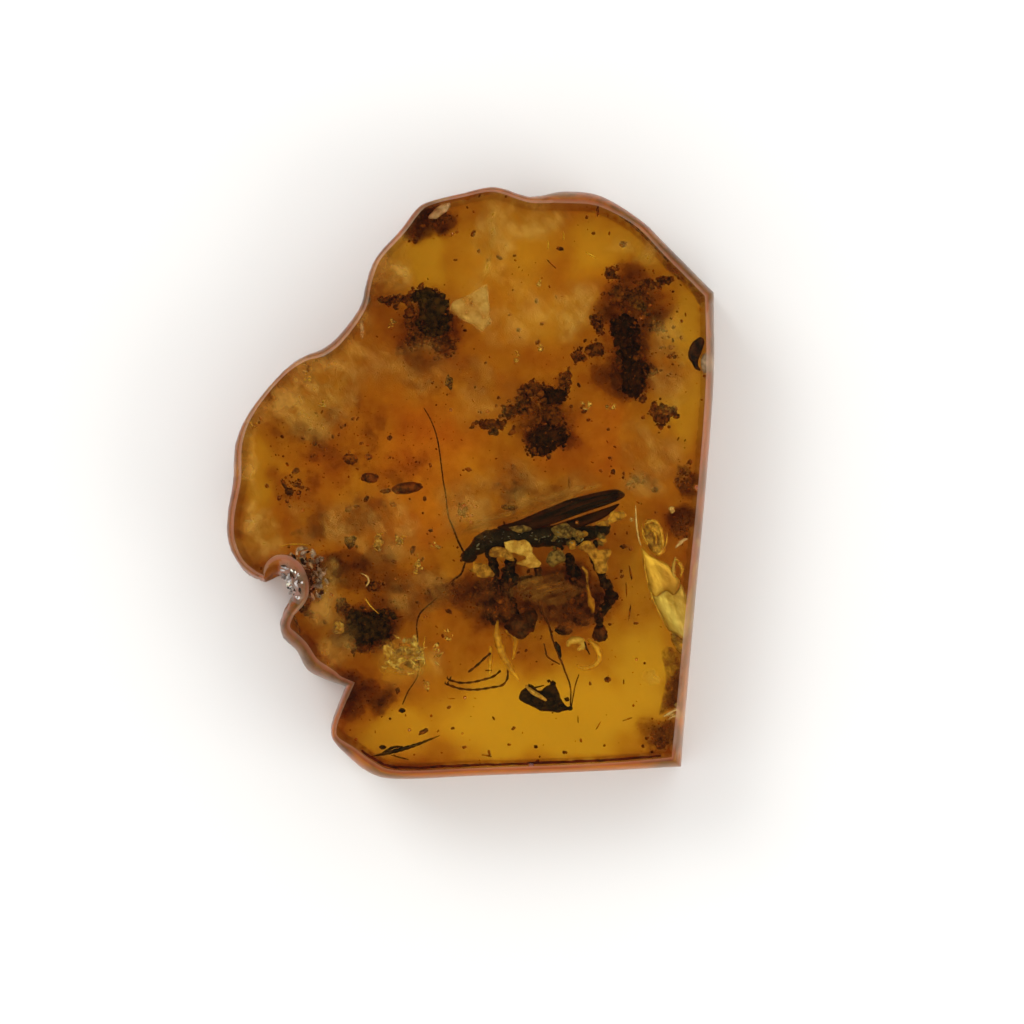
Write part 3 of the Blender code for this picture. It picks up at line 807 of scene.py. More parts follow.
# %% A shader group for grain
def grain_group():
    """Uneven colour and height from two sizes of noise, drawn out along one direction."""
    group = bpy.data.node_groups.new("grain", "ShaderNodeTree")
    for name, default in (("Size", 0.3), ("Stretch", 1.0), ("Turn", 0.0)):
        socket = group.interface.new_socket(name, in_out="INPUT", socket_type="NodeSocketFloat")
        socket.default_value = default
    for name in ("Mask", "Height"):
        group.interface.new_socket(name, in_out="OUTPUT", socket_type="NodeSocketFloat")
    given = group.nodes.new("NodeGroupInput").outputs
    result = group.nodes.new("NodeGroupOutput")
    spot = place(group, "TexCoord").outputs["Object"]
    turned = place(group, "VectorRotate", {"Vector": spot, "Angle": given["Turn"]}, rotation_type="Z_AXIS")
    per_metre = place(group, "Math", {0: 1000.0, 1: given["Size"]}, operation="DIVIDE").outputs[0]
    narrow = place(group, "Math", {0: per_metre, 1: given["Stretch"]}, operation="DIVIDE").outputs[0]
    factors = place(group, "CombineXYZ", {"X": narrow, "Y": per_metre, "Z": per_metre}).outputs[0]
    sized = place(group, "VectorMath", {0: turned.outputs[0], 1: factors}, operation="MULTIPLY").outputs[0]
    broad = place(group, "TexNoise", {"Vector": sized, "Scale": 1.0, "Detail": 5.0, "Roughness": 0.6})
    fine = place(group, "TexNoise", {"Vector": sized, "Scale": 3.7, "Detail": 3.0, "Roughness": 0.6})
    spread = place(group, "MapRange", {"Value": broad.outputs["Fac"], "From Min": 0.36, "From Max": 0.66})
    group.links.new(spread.outputs["Result"], result.inputs["Mask"])
    both = place(group, "Math", {0: broad.outputs["Fac"], 1: fine.outputs["Fac"]}, operation="ADD").outputs[0]
    group.links.new(both, result.inputs["Height"])
    return group


grain = grain_group()


RELIEF_DEPTH = 0.05


def grained(name, dark, light, size, stretch, turn):
    """A material whose colour wanders between two tones.  turn is in degrees, size in mm."""
    made, tree, surface = new_material(name)
    texture = place(tree, "Group", {"Size": size, "Stretch": stretch, "Turn": math.radians(turn)},
                    node_tree=grain)
    tree.links.new(ramp(tree, texture.outputs["Mask"], [(0, dark), (1, light)]), surface.inputs["Base Color"])
    return made, tree, surface, texture.outputs


def matter(name, dark, light, roughness=0.4, size=0.3, stretch=1.0, turn=0.0, relief=0.3, **sockets):
    """A dense material with a slightly uneven face."""
    made, tree, surface, texture = grained(name, dark, light, size, stretch, turn)
    bump = place(tree, "Bump",
                 {"Strength": relief, "Distance": RELIEF_DEPTH * MM, "Height": texture["Height"]})
    tree.links.new(bump.outputs["Normal"], surface.inputs["Normal"])
    surface.inputs["Roughness"].default_value = roughness
    for socket, value in sockets.items():
        surface.inputs[socket.replace("_", " ")].default_value = value
    return made


# %% [markdown]
# ## The insect
# It lies on its side with its wings folded.  The horny parts are blue-black and glossy, the wing cases are
# brown with darker ribs along them, and rotten gas has lifted pale films off its flank.  The legs hang
# below it: some are dark, and some are hollow skins that shine like gold.

# %% Materials of the insect
SHELL, CASE, BRIGHT_FILM, DULL_FILM, GREY_FILM, GOLD_SKIN, LEG, HORN, BLUE_HIGHLIGHT = range(9)
insect_finishes = (
    matter("shell_black", (0.002, 0.003, 0.005), (0.014, 0.014, 0.018), 0.12, 0.16, relief=1.0,
           Specular_IOR_Level=0.35),
    matter("wing_case", (0.003, 0.002, 0.001), (0.055, 0.015, 0.004), 0.35, 0.30, 7.0, -14.0, relief=0.6,
           Specular_IOR_Level=0.08),
    matter("film_bright", (0.62, 0.44, 0.12), (1.0, 0.88, 0.36), 0.42, 0.35, relief=0.5),
    matter("film_dull", (0.26, 0.14, 0.02), (0.80, 0.55, 0.12), 0.48, 0.30, relief=0.6),
    matter("film_grey", (0.05, 0.040, 0.02), (0.40, 0.33, 0.14), 0.30, 0.22, relief=0.8),
    matter("gold_skin", (0.50, 0.27, 0.02), (0.95, 0.66, 0.09), 0.33, 0.30, 2.0, 60.0, relief=0.4),
    matter("leg_dark", (0.004, 0.002, 0.001), (0.045, 0.017, 0.006), 0.25, 0.25, relief=0.8,
           Specular_IOR_Level=0.25),
    matter("horn_brown", (0.022, 0.008, 0.003), (0.15, 0.050, 0.014), 0.3, 0.4, relief=0.5,
           Specular_IOR_Level=0.25),
    # pale blue lumps that are painted highlights of the glossy shell
    matter("painted_highlight_blue", (0.08, 0.12, 0.18), (0.50, 0.62, 0.75), 0.15, 0.1, relief=0.6),
)

# %% Trunk and head
TRUNK = (
    (-0.15, -3.50, 4.30, 0.26), (0.45, -3.10, 4.30, 0.42), (1.20, -2.80, 4.30, 0.53),
    (2.20, -2.68, 4.28, 0.56), (3.40, -2.62, 4.25, 0.55), (4.60, -2.60, 4.22, 0.50),
    (5.70, -2.50, 4.20, 0.40), (6.40, -2.33, 4.20, 0.27), (6.85, -2.10, 4.20, 0.10),
)
insect_bm = bmesh.new()
strand(insect_bm, TRUNK, sides=24, step=0.06, beads=0.035, bead_length=0.52, slot=SHELL)
lump(insect_bm, (-0.10, -3.62, 4.30), (0.40, 0.33, 0.34), 0.10, detail=4, slot=SHELL)
lump(insect_bm, (-0.22, -3.45, 4.56), (0.14, 0.13, 0.12), 0.02, detail=3, slot=SHELL, seed=2)
lump(insect_bm, (-0.42, -3.78, 4.30), (0.15, 0.10, 0.12), 0.20, detail=3, turn=40, slot=HORN, seed=3)
lump(insect_bm, (0.75, -2.72, 4.62), (0.62, 0.36, 0.26), 0.22, detail=4, turn=18, slot=SHELL, seed=4)
lump(insect_bm, (1.95, -2.42, 4.62), (0.72, 0.30, 0.24), 0.25, detail=4, turn=5, slot=SHELL, seed=5)
lump(insect_bm, (6.45, -2.35, 4.42), (0.48, 0.30, 0.26), 0.30, detail=4, turn=25, slot=SHELL, seed=6)

# %% Wing cases
WING_CASE = (
    (7.52, -0.44), (7.14, -0.30), (6.37, -0.42), (5.61, -0.61), (4.77, -0.82), (4.08, -1.11), (3.31, -1.42),
    (2.30, -1.86), (1.30, -2.16), (1.80, -2.38), (2.80, -2.36), (3.62, -2.16), (4.40, -1.90), (5.20, -1.60),
    (6.00, -1.32), (6.80, -1.05), (7.40, -0.80), (7.62, -0.60),
)
LOWER_CASE = (
    (7.35, -1.02), (6.60, -1.25), (5.60, -1.58), (4.60, -1.92), (3.60, -2.22), (2.60, -2.46), (3.60, -2.52),
    (4.80, -2.38), (5.80, -2.05), (6.70, -1.65),
)
RIBS = (
    ((7.30, -0.45), (5.60, -0.84), (4.10, -1.38), (2.20, -2.05)),
    ((7.35, -0.62), (5.70, -1.08), (4.30, -1.60), (2.60, -2.14)),
    ((7.20, -0.82), (5.80, -1.28), (4.50, -1.78), (3.00, -2.22)),
)
pad(insect_bm, WING_CASE, 4.68, 0.26, 0.35, 0.05, 0.8, (-0.02, -0.10), 0.07, slot=CASE, seed=1)
pad(insect_bm, LOWER_CASE, 4.45, 0.22, 0.25, 0.06, 0.7, (0, -0.1), 0.07, slot=CASE, seed=2)
for rib in RIBS:
    strand(insect_bm, [(x, y, 4.80, 0.035) for x, y in rib], slot=SHELL)

# %% Films along the flank
FILMS = (  # outline, height, thickness, finish
    (((1.67, -2.96), (1.78, -2.89), (2.24, -2.85), (2.78, -2.85), (3.01, -3.12), (3.08, -3.42),
      (3.31, -3.73), (3.47, -3.96), (3.39, -4.11), (3.01, -4.19), (2.55, -4.11), (2.24, -4.03),
      (2.47, -3.88), (2.70, -3.73), (2.55, -3.58), (2.24, -3.50), (1.94, -3.35), (1.71, -3.19)), 5.00, 0.16,
     BRIGHT_FILM),
    (((0.94, -3.35), (1.17, -3.19), (1.48, -3.12), (1.80, -3.22), (2.09, -3.58), (2.16, -3.80),
      (1.94, -3.80), (1.40, -3.69), (1.02, -3.61), (0.90, -3.46)), 4.92, 0.14, DULL_FILM),
    (((-0.17, -4.23), (0.02, -4.19), (0.10, -3.88), (0.33, -4.03), (0.71, -4.03), (1.02, -4.26),
      (1.13, -4.57), (0.71, -4.68), (0.40, -4.65), (0.18, -4.42), (-0.05, -4.34)), 4.80, 0.14, DULL_FILM),
    (((3.77, -3.73), (3.93, -3.42), (4.46, -3.31), (4.69, -3.50), (4.69, -3.80), (4.38, -3.96),
      (4.08, -4.11), (3.85, -4.11), (3.73, -3.88)), 4.85, 0.20, GREY_FILM),
    (((5.30, -3.12), (5.61, -2.89), (5.91, -2.89), (6.14, -3.12), (6.37, -3.35), (6.83, -3.27),
      (6.91, -3.58), (6.76, -3.88), (6.76, -4.34), (6.53, -4.53), (6.22, -4.42), (6.14, -4.11),
      (5.99, -3.80), (5.76, -3.50), (5.53, -3.35)), 4.80, 0.14, DULL_FILM),
    (((6.76, -1.74), (6.99, -1.47), (7.52, -1.39), (7.68, -1.59), (7.45, -1.81), (6.99, -1.93),
      (6.76, -2.12), (6.37, -2.12), (6.14, -2.04), (6.60, -1.85)), 4.70, 0.12, DULL_FILM),
    (((4.00, -2.20), (4.60, -1.98), (5.20, -2.25), (5.60, -2.60), (4.60, -2.72), (4.10, -2.60)), 4.82, 0.14,
     GREY_FILM),
    (((1.85, -2.22), (2.40, -2.12), (2.95, -2.22), (2.85, -2.40), (2.30, -2.42)), 4.93, 0.06, GREY_FILM),
)
for number, (corners, z, thick, finish) in enumerate(FILMS):
    pad(insect_bm, corners, z, thick, 0.09, 0.13, 0.40, step=0.045, ragged=0.10, slot=finish,
        seed=number + 10)

# %% Froth and rot along the tail
FROTH_START, FROTH_END = (3.60, -2.95), (6.60, -2.70)
FROTH_COUNT = 34
froth = random.Random(21)
for number in range(FROTH_COUNT):
    share = froth.random()
    x, y = (start + share * (end - start) for start, end in zip(FROTH_START, FROTH_END))
    y += froth.uniform(-0.45, 0.45)
    size = froth.uniform(0.08, 0.24)
    finish = froth.choice((SHELL, SHELL, GREY_FILM, GREY_FILM, DULL_FILM))
    lump(insect_bm, (x, y, froth.uniform(4.5, 4.75)), (size, size * 0.8, size * 0.7), 0.35, detail=3,
         turn=froth.uniform(0, 180), slot=finish, seed=number)

# %% Painted bluish highlights on the trunk: small pale lumps where the glossy shell would shine
BLUE_HIGHLIGHT_COUNT = 36
highlight_spots = random.Random(33)
for number in range(BLUE_HIGHLIGHT_COUNT):
    share = highlight_spots.random()
    x = 0.3 + 5.4 * share
    y = -2.95 + 0.30 * math.sin(3 * share) + highlight_spots.gauss(0, 0.16)
    size = 0.014 + 0.034 * highlight_spots.random() ** 2
    middle = (x, y, 4.86 + highlight_spots.uniform(-0.04, 0.06))
    lump(insect_bm, middle, (size * 2.6, size * 0.7, size * 0.6), 0.4, detail=2, turn=highlight_spots.uniform(-30, 60),
         slot=BLUE_HIGHLIGHT, seed=number)

# %% Legs
LEGS = (  # points with radius, finish
    (((1.00, -3.20, 4.45, 0.24), (1.17, -4.72, 4.55, 0.22), (0.94, -5.64, 4.60, 0.20),
      (0.86, -6.33, 4.62, 0.23), (1.09, -6.98, 4.62, 0.10)), LEG),
    (((1.30, -6.80, 4.66, 0.06), (1.28, -7.50, 4.66, 0.17), (1.50, -8.32, 4.62, 0.19),
      (1.88, -9.05, 4.58, 0.15), (2.40, -9.80, 4.50, 0.03)), GOLD_SKIN),
    (((2.00, -3.80, 4.30, 0.26), (1.75, -4.90, 4.20, 0.30), (1.85, -5.80, 4.15, 0.26),
      (2.10, -6.60, 4.15, 0.24)), LEG),
    (((1.71, -7.30, 4.15, 0.13), (2.09, -7.60, 4.15, 0.15), (2.20, -8.00, 4.10, 0.14),
      (2.05, -8.74, 4.05, 0.07)), GOLD_SKIN),
    (((0.98, -8.10, 4.05, 0.10), (0.95, -8.90, 4.05, 0.11), (0.93, -9.55, 4.05, 0.05)), GOLD_SKIN),
    (((3.30, -4.20, 4.20, 0.20), (3.40, -5.20, 4.20, 0.14), (3.47, -6.18, 4.25, 0.10),
      (3.85, -7.02, 4.30, 0.06), (4.08, -7.86, 4.30, 0.05), (4.38, -8.63, 4.30, 0.05),
      (4.65, -9.31, 4.30, 0.045), (4.92, -10.16, 4.30, 0.04), (4.92, -11.20, 4.30, 0.03)), HORN),
    (((4.18, -7.85, 4.40, 0.04), (4.32, -8.15, 4.40, 0.11), (4.45, -8.62, 4.40, 0.04)), SHELL),
    (((3.62, -7.94, 4.30, 0.03), (3.70, -8.32, 4.30, 0.045), (3.81, -8.63, 4.30, 0.045),
      (4.38, -8.97, 4.30, 0.03)), HORN),
    (((5.34, -9.47, 4.25, 0.03), (5.15, -10.08, 4.25, 0.035), (4.95, -11.15, 4.25, 0.03)), HORN),
    (((5.99, -3.60, 4.35, 0.14), (6.55, -4.72, 4.35, 0.20), (6.93, -5.56, 4.35, 0.25),
      (6.68, -6.10, 4.35, 0.22), (6.37, -6.60, 4.35, 0.19), (6.37, -7.17, 4.35, 0.17),
      (6.45, -7.78, 4.35, 0.10)), LEG),
    (((4.80, -3.60, 4.25, 0.22), (5.20, -4.80, 4.15, 0.26), (5.45, -5.90, 4.10, 0.24),
      (5.46, -6.80, 4.10, 0.20)), LEG),
    (((5.75, -5.05, 4.72, 0.07), (5.86, -5.60, 4.75, 0.13), (5.96, -6.00, 4.75, 0.19),
      (6.03, -6.40, 4.72, 0.07)), GOLD_SKIN),
    (((5.50, -4.15, 4.70, 0.06), (5.70, -4.40, 4.72, 0.08), (5.76, -5.02, 4.72, 0.05)), DULL_FILM),
    (((4.77, -8.05, 4.45, 0.10), (4.92, -7.84, 4.50, 0.16), (5.23, -7.77, 4.50, 0.19),
      (5.50, -7.88, 4.50, 0.18), (5.55, -8.10, 4.50, 0.15), (5.30, -8.25, 4.45, 0.08)), BRIGHT_FILM),
    (((5.80, -7.75, 4.45, 0.08), (6.11, -8.01, 4.45, 0.14), (6.34, -8.36, 4.45, 0.15),
      (6.34, -8.74, 4.45, 0.14), (6.07, -9.05, 4.45, 0.12), (5.61, -9.18, 4.40, 0.10),
      (5.23, -9.01, 4.35, 0.05)), GOLD_SKIN),
    (((5.61, -7.86, 4.70, 0.03), (5.72, -8.17, 4.70, 0.06), (5.88, -8.47, 4.70, 0.03)), LEG),
)
for path, finish in LEGS:
    strand(insect_bm, path, sides=16, step=0.05, rough=0.9 if finish == LEG else 0.35, slot=finish)

# %% Feet: beaded strands that end in a pair of claws
FEET = (
    ((1.44, -9.31), (1.09, -9.58), (0.71, -9.70), (0.10, -9.85), (-0.51, -9.89), (-1.05, -9.77)),
    ((1.82, -9.24), (1.78, -9.70), (1.55, -10.00), (1.02, -10.12), (0.25, -10.23), (-0.51, -10.19),
     (-1.13, -10.00)),
    ((0.94, -8.43), (0.71, -8.63), (0.25, -9.05), (-0.13, -9.35)),
)
CLAWS = (
    ((-1.05, -9.77), (-1.20, -9.66), (-1.16, -9.55)), ((-1.05, -9.77), (-1.02, -9.62), (-0.94, -9.56)),
    ((-1.13, -10.00), (-1.30, -9.92), (-1.28, -9.80)), ((-1.13, -10.00), (-1.16, -9.86), (-1.08, -9.78)),
)
FOOT_HEIGHT = 4.2
CLAW_RADII = (0.05, 0.035, 0.008)
for foot in FEET:
    path = [(x, y, FOOT_HEIGHT, 0.055) for x, y in foot]
    strand(insect_bm, path, sides=10, step=0.05, beads=0.22, bead_length=0.42, slot=HORN)
for claw in CLAWS:
    strand(insect_bm, [(x, y, FOOT_HEIGHT, r) for (x, y), r in zip(claw, CLAW_RADII)], slot=LEG)
strand(insect_bm, [(0.71, -9.28, 4.1, 0.03), (1.02, -9.28, 4.1, 0.03)], slot=HORN)

# %% Swollen joints
JOINTS = (  # middle, half-sizes, finish
    ((2.05, -4.75, 4.50), (0.36, 0.30, 0.26), SHELL), ((2.90, -4.75, 4.45), (0.48, 0.18, 0.18), SHELL),
    ((2.35, -7.05, 4.20), (0.62, 0.66, 0.42), HORN), ((2.95, -6.75, 4.15), (0.32, 0.60, 0.32), HORN),
    ((1.75, -6.55, 4.20), (0.36, 0.40, 0.30), LEG), ((5.45, -6.80, 4.25), (0.46, 0.28, 0.28), LEG),
    ((6.40, -7.45, 4.35), (0.36, 0.42, 0.30), HORN), ((4.60, -7.30, 4.30), (0.40, 0.22, 0.20), LEG),
)
for number, (middle, half_sizes, finish) in enumerate(JOINTS):
    lump(insect_bm, middle, half_sizes, 0.28, detail=4, slot=finish, seed=number + 60)

# %% Feelers
FEELER_RADIUS = 0.05
FEELERS = (
    ((-0.35, -3.45), (-0.67, -2.81), (-0.90, -2.20), (-1.13, -1.59), (-1.28, -0.44), (-1.39, 0.17),
     (-1.67, 2.17), (-1.98, 3.08), (-2.33, 3.72)),
    ((-0.30, -3.95), (-0.51, -4.50), (-0.97, -4.88), (-1.74, -5.72), (-2.50, -6.41), (-2.70, -7.02),
     (-2.66, -7.75), (-2.62, -9.40), (-3.12, -10.31), (-3.40, -10.95)),
)
for feeler in FEELERS:
    last = len(feeler) - 1
    path = [(x, y, 4.25, FEELER_RADIUS * (1 - 0.45 * i / last)) for i, (x, y) in enumerate(feeler)]
    strand(insect_bm, path, sides=8, step=0.045, beads=0.18, bead_length=0.21, slot=LEG)
lump(insect_bm, (-3.42, -11.25, 4.25), (0.15, 0.12, 0.10), 0.3, slot=LEG, seed=80)

# %% Close the insect
insect = finish_mesh(insect_bm, "insect_body", insect_finishes)
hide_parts("insect")
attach(insect, "root")
print("insect:", len(insect.data.polygons), "faces")

# %% [markdown]
# ## Crumbs of rot
# The resin ran down bark, and carries hundreds of specks of rotten wood and a few thick clumps of it.
# Nobody would place them one by one, so a Geometry Nodes tree scatters them: it takes a flat bed whose
# points say how crowded each place is, drops points on it, shifts them up or down, and puts a small rough
# ball on each, turned and stretched at random.

# %% The tree that scatters
def scatter_tree(detail):
    """Drops balls of the given detail on a bed, as crowded as its points say."""
    tree = bpy.data.node_groups.new("scatter crumbs", "GeometryNodeTree")
    tree.interface.new_socket("Bed", in_out="INPUT", socket_type="NodeSocketGeometry")
    for name in ("Crowding", "Depth", "Smallest", "Largest", "Rarity", "Stretch"):
        tree.interface.new_socket(name, in_out="INPUT", socket_type="NodeSocketFloat")
    tree.interface.new_socket("Seed", in_out="INPUT", socket_type="NodeSocketInt")
    tree.interface.new_socket("Finish", in_out="INPUT", socket_type="NodeSocketMaterial")
    tree.interface.new_socket("Crumbs", in_out="OUTPUT", socket_type="NodeSocketGeometry")
    given = node(tree, "NodeGroupInput").outputs
    crowd = node(tree, "GeometryNodeInputNamedAttribute", {"Name": "crowding"}, data_type="FLOAT")
    density = place(tree, "Math", {0: crowd.outputs["Attribute"], 1: given["Crowding"]}, operation="MULTIPLY")
    points = node(tree, "GeometryNodeDistributePointsOnFaces",
                  {"Mesh": given["Bed"], "Density": density.outputs[0], "Seed": given["Seed"]})
    sink = place(tree, "Math", {0: given["Depth"], 1: -1.0}, operation="MULTIPLY")
    level = node(tree, "FunctionNodeRandomValue",
                 {2: sink.outputs[0], 3: given["Depth"], "Seed": 11}, data_type="FLOAT")
    shift = place(tree, "CombineXYZ", {"Z": level.outputs[1]})
    moved = node(tree, "GeometryNodeSetPosition",
                 {"Geometry": points.outputs["Points"], "Offset": shift.outputs[0]})
    chance = node(tree, "FunctionNodeRandomValue", {2: 0.0, 3: 1.0, "Seed": 12}, data_type="FLOAT")
    rare = place(tree, "Math", {0: chance.outputs[1], 1: given["Rarity"]}, operation="POWER")
    size = place(tree, "MapRange",
                 {"Value": rare.outputs[0], "To Min": given["Smallest"], "To Max": given["Largest"]})
    longest = place(tree, "CombineXYZ", {"X": given["Stretch"], "Y": 1.2, "Z": 1.0})
    shape = node(tree, "FunctionNodeRandomValue", {0: (0.6, 0.45, 0.45), 1: longest.outputs[0], "Seed": 13},
                 data_type="FLOAT_VECTOR")
    scale = place(tree, "VectorMath", {0: shape.outputs[0], "Scale": size.outputs["Result"]},
                  operation="SCALE")
    turn = node(tree, "FunctionNodeRandomValue", {0: (0, 0, 0), 1: (0.5, 0.5, 2 * math.pi), "Seed": 14},
                data_type="FLOAT_VECTOR")
    ball = node(tree, "GeometryNodeMeshIcoSphere", {"Radius": 1.0, "Subdivisions": detail})
    dents = place(tree, "TexNoise", {"Scale": 1.3, "Detail": 1.0})
    centred = place(tree, "VectorMath", {0: dents.outputs["Color"], 1: (0.5, 0.5, 0.5)}, operation="SUBTRACT")
    rough_ball = node(tree, "GeometryNodeSetPosition",
                      {"Geometry": ball.outputs["Mesh"], "Offset": centred.outputs[0]})
    crumbs = node(tree, "GeometryNodeInstanceOnPoints",
                  {"Points": moved.outputs["Geometry"], "Instance": rough_ball.outputs["Geometry"],
                   "Rotation": turn.outputs[0], "Scale": scale.outputs[0]})
    real = node(tree, "GeometryNodeRealizeInstances", {"Geometry": crumbs.outputs[0]})
    painted = node(tree, "GeometryNodeSetMaterial",
                   {"Geometry": real.outputs[0], "Material": given["Finish"]})
    tree.links.new(painted.outputs[0], node(tree, "NodeGroupOutput").inputs["Crumbs"])
    return tree


CRUMB_TREE = scatter_tree(1)


# %% Run the tree on a bed
BED_STEP = 0.35
bed_spots = net_points(face_ring, BED_STEP, 0.25)
bed_points, bed_faces = triangle_net(face_ring, bed_spots)


def scatter(name, crowding, finish, height=3.5, **sizes):
    """Scatters crumbs where crowding(x, y) is high.  Sizes are in mm, Crowding in crumbs per square mm."""
    mesh = bpy.data.meshes.new(name)
    mesh.from_pydata([(p.x * MM, p.y * MM, height * MM) for p in bed_points], [], bed_faces)
    crowd = mesh.attributes.new("crowding", "FLOAT", "POINT")
    crowd.data.foreach_set("value", [crowding(p.x, p.y) for p in bed_points])
    holder = link(bpy.data.objects.new(name, mesh))
    mesh.materials.append(finish)
    values = dict(Crowding=sizes.pop("Crowding") / MM**2, Rarity=sizes.pop("Rarity", 2.0),
                  Stretch=sizes.pop("Stretch", 1.6), Seed=sizes.pop("Seed", 1), Finish=finish)
    values |= {key: value * MM for key, value in sizes.items()}
    modifier = holder.modifiers.new("scatter", "NODES")
    modifier.node_group = CRUMB_TREE
    for item in CRUMB_TREE.interface.items_tree:
        if item.in_out == "INPUT" and item.name in values:
            modifier[item.identifier] = values[item.name]
    graph = bpy.context.evaluated_depsgraph_get()
    result = bpy.data.meshes.new_from_object(holder.evaluated_get(graph))
    holder.modifiers.remove(modifier)
    holder.data = result
    bpy.data.meshes.remove(mesh)
    result.name = name
    return holder


# %% Materials of the rot
DULL = {"Specular_IOR_Level": 0.15}  # soaked in resin, rot hardly shines
rot_dark = matter("rot_dark", (0.008, 0.003, 0.001), (0.075, 0.027, 0.007), 0.5, 0.30, relief=0.8, **DULL)
rot_brown = matter("rot_brown", (0.050, 0.018, 0.004), (0.36, 0.145, 0.030), 0.5, 0.3, relief=0.8, **DULL)
rot_olive = matter("rot_olive", (0.012, 0.008, 0.003), (0.11, 0.070, 0.022), 0.5, 0.35, relief=0.8, **DULL)


# %% Specks all over, and dust in the smoky parts
def speck_crowding(x, y):
    calm = zone_share(x, y, CLEAR_ZONES)
    patchy = 0.5 + noise.noise(Vector((x, y, 5)) / 2.4)
    return (0.35 + 0.65 * (1 - calm)) * max(0.15, patchy + 0.3)


def dust_crowding(x, y):
    return zone_share(x, y, SMOKE_ZONES) ** 1.5


speck_brown = matter("speck_brown", (0.060, 0.020, 0.004), (0.42, 0.16, 0.03), 0.5, 0.3, **DULL)
specks = scatter("specks", speck_crowding, speck_brown, Crowding=3.6, Depth=2.0, Smallest=0.015,
                 Largest=0.085, Rarity=4.0, Stretch=2.0, Seed=5)
dust = scatter("dust", dust_crowding, rot_brown, Crowding=60.0, Depth=1.8, Smallest=0.012, Largest=0.055,
               Rarity=3.0, Seed=6)
for piece in (specks, dust):
    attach(piece, "root")
    print(piece.name + ":", len(piece.data.polygons), "faces")

# %% Clumps: where each lump of rot lies, with its half-sizes
CLUMPS = {
    "debris_upper_left": (rot_olive, (
        (-1.90, 8.60, 4.0, 0.62, 0.72), (-2.35, 9.30, 3.9, 0.50, 0.36), (-1.75, 7.75, 3.7, 0.62, 0.42),
        (-1.40, 6.90, 3.7, 0.48, 0.36), (-2.70, 7.20, 3.6, 0.46, 0.36), (-3.20, 9.15, 3.8, 0.42, 0.14),
        (-4.10, 9.05, 3.8, 0.36, 0.12), (-3.05, 8.30, 3.8, 0.14, 0.40), (-1.30, 8.10, 3.9, 0.30, 0.30))),
    "debris_upper_right": (rot_dark, (
        (7.63, 7.50, 4.0, 0.58, 0.80), (8.05, 5.25, 3.9, 0.50, 0.85), (7.85, 6.30, 3.8, 0.40, 0.60),
        (6.14, 6.60, 3.8, 0.36, 0.30), (6.90, 10.40, 4.0, 0.22, 0.24), (7.40, 9.35, 4.0, 0.50, 0.34),
        (8.10, 9.20, 3.9, 0.30, 0.26), (9.60, 10.10, 4.1, 0.34, 0.13), (8.70, 9.90, 4.0, 0.40, 0.12),
        (5.30, 6.35, 3.7, 0.16, 0.30), (8.90, 5.60, 3.8, 0.24, 0.22), (9.40, 3.45, 3.9, 0.46, 0.42),
        (6.30, 7.90, 3.8, 0.24, 0.30), (9.15, 7.80, 3.9, 0.26, 0.20))),
    "debris_centre": (rot_dark, (
        (3.80, 2.25, 4.0, 0.72, 0.50), (3.30, 1.70, 3.8, 0.50, 0.30), (4.50, 2.40, 3.8, 0.34, 0.34),
        (3.10, 4.70, 3.9, 0.42, 0.28), (4.10, 4.30, 3.9, 0.60, 0.36), (4.70, 5.10, 3.8, 0.24, 0.34),
        (2.60, 4.00, 3.7, 0.30, 0.40), (1.87, 3.60, 3.9, 0.24, 0.16), (1.00, 2.90, 3.8, 0.60, 0.22),
        (3.90, 3.30, 3.7, 0.40, 0.40))),
    "debris_lower_left": (rot_olive, (
        (-5.30, -7.20, 4.2, 0.70, 0.66), (-4.60, -7.30, 4.1, 0.50, 0.44), (-5.60, -8.00, 4.0, 0.50, 0.34),
        (-4.30, -6.60, 4.0, 0.60, 0.24), (-5.80, -6.60, 4.0, 0.40, 0.30), (-8.10, -6.30, 3.9, 0.30, 0.22),
        (-6.40, -6.05, 3.9, 0.22, 0.28), (-4.90, -5.10, 3.9, 0.26, 0.20))),
}
DARK_CORES = (  # middle and half-sizes; rot inside these is nearly black, and brown outside them
    (-1.90, 8.40, 0.9, 1.1), (-2.35, 9.20, 0.6, 0.4), (7.65, 7.20, 0.8, 1.2), (8.05, 5.20, 0.8, 1.0),
    (3.80, 2.20, 0.9, 0.7), (4.10, 4.30, 0.6, 0.4), (-5.10, -7.10, 1.1, 0.9), (-8.10, -6.30, 0.3, 0.3),
)
CRUMBS_PER_LUMP = 90
CRUMB_SPREAD = 0.72


def outside_cores(x, y):
    """The slot of the rot at a place: 0 in a dark core, 1 in the brown rot round it."""
    return int(all(math.hypot((x - cx) / rx, (y - cy) / ry) > 1 for cx, cy, rx, ry in DARK_CORES))


def clump(name, finish, lumps, seed):
    """Rough lumps with crumbs crowding round them, as one piece."""
    bm = bmesh.new()
    chance = random.Random(seed)
    for number, (x, y, z, rx, ry) in enumerate(lumps):
        lump(bm, (x, y, z), (rx, ry, min(rx, ry) * 0.7), 0.55, 0.5, 4, slot=outside_cores(x, y),
             seed=seed + number)
        for _ in range(CRUMBS_PER_LUMP):
            size = 0.018 + 0.17 * chance.random() ** 3
            spot = (x + chance.gauss(0, rx * CRUMB_SPREAD), y + chance.gauss(0, ry * CRUMB_SPREAD),
                    z + chance.gauss(0, 0.35))
            half_sizes = (size, size * chance.uniform(0.5, 1), size * 0.7)
            lump(bm, spot, half_sizes, 0.5, 0.8, 1 if size < 0.06 else 2, turn=chance.uniform(0, 180),
                 slot=outside_cores(*spot[:2]), seed=seed + number)
    made = finish_mesh(bm, name + "_rot", (finish, rot_brown))
    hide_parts(name)
    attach(made, "root")
    return made


for seed, (name, (finish, lumps)) in enumerate(CLUMPS.items()):
    print(name + ":", len(clump(name, finish, lumps, 100 + 20 * seed).data.polygons), "faces")

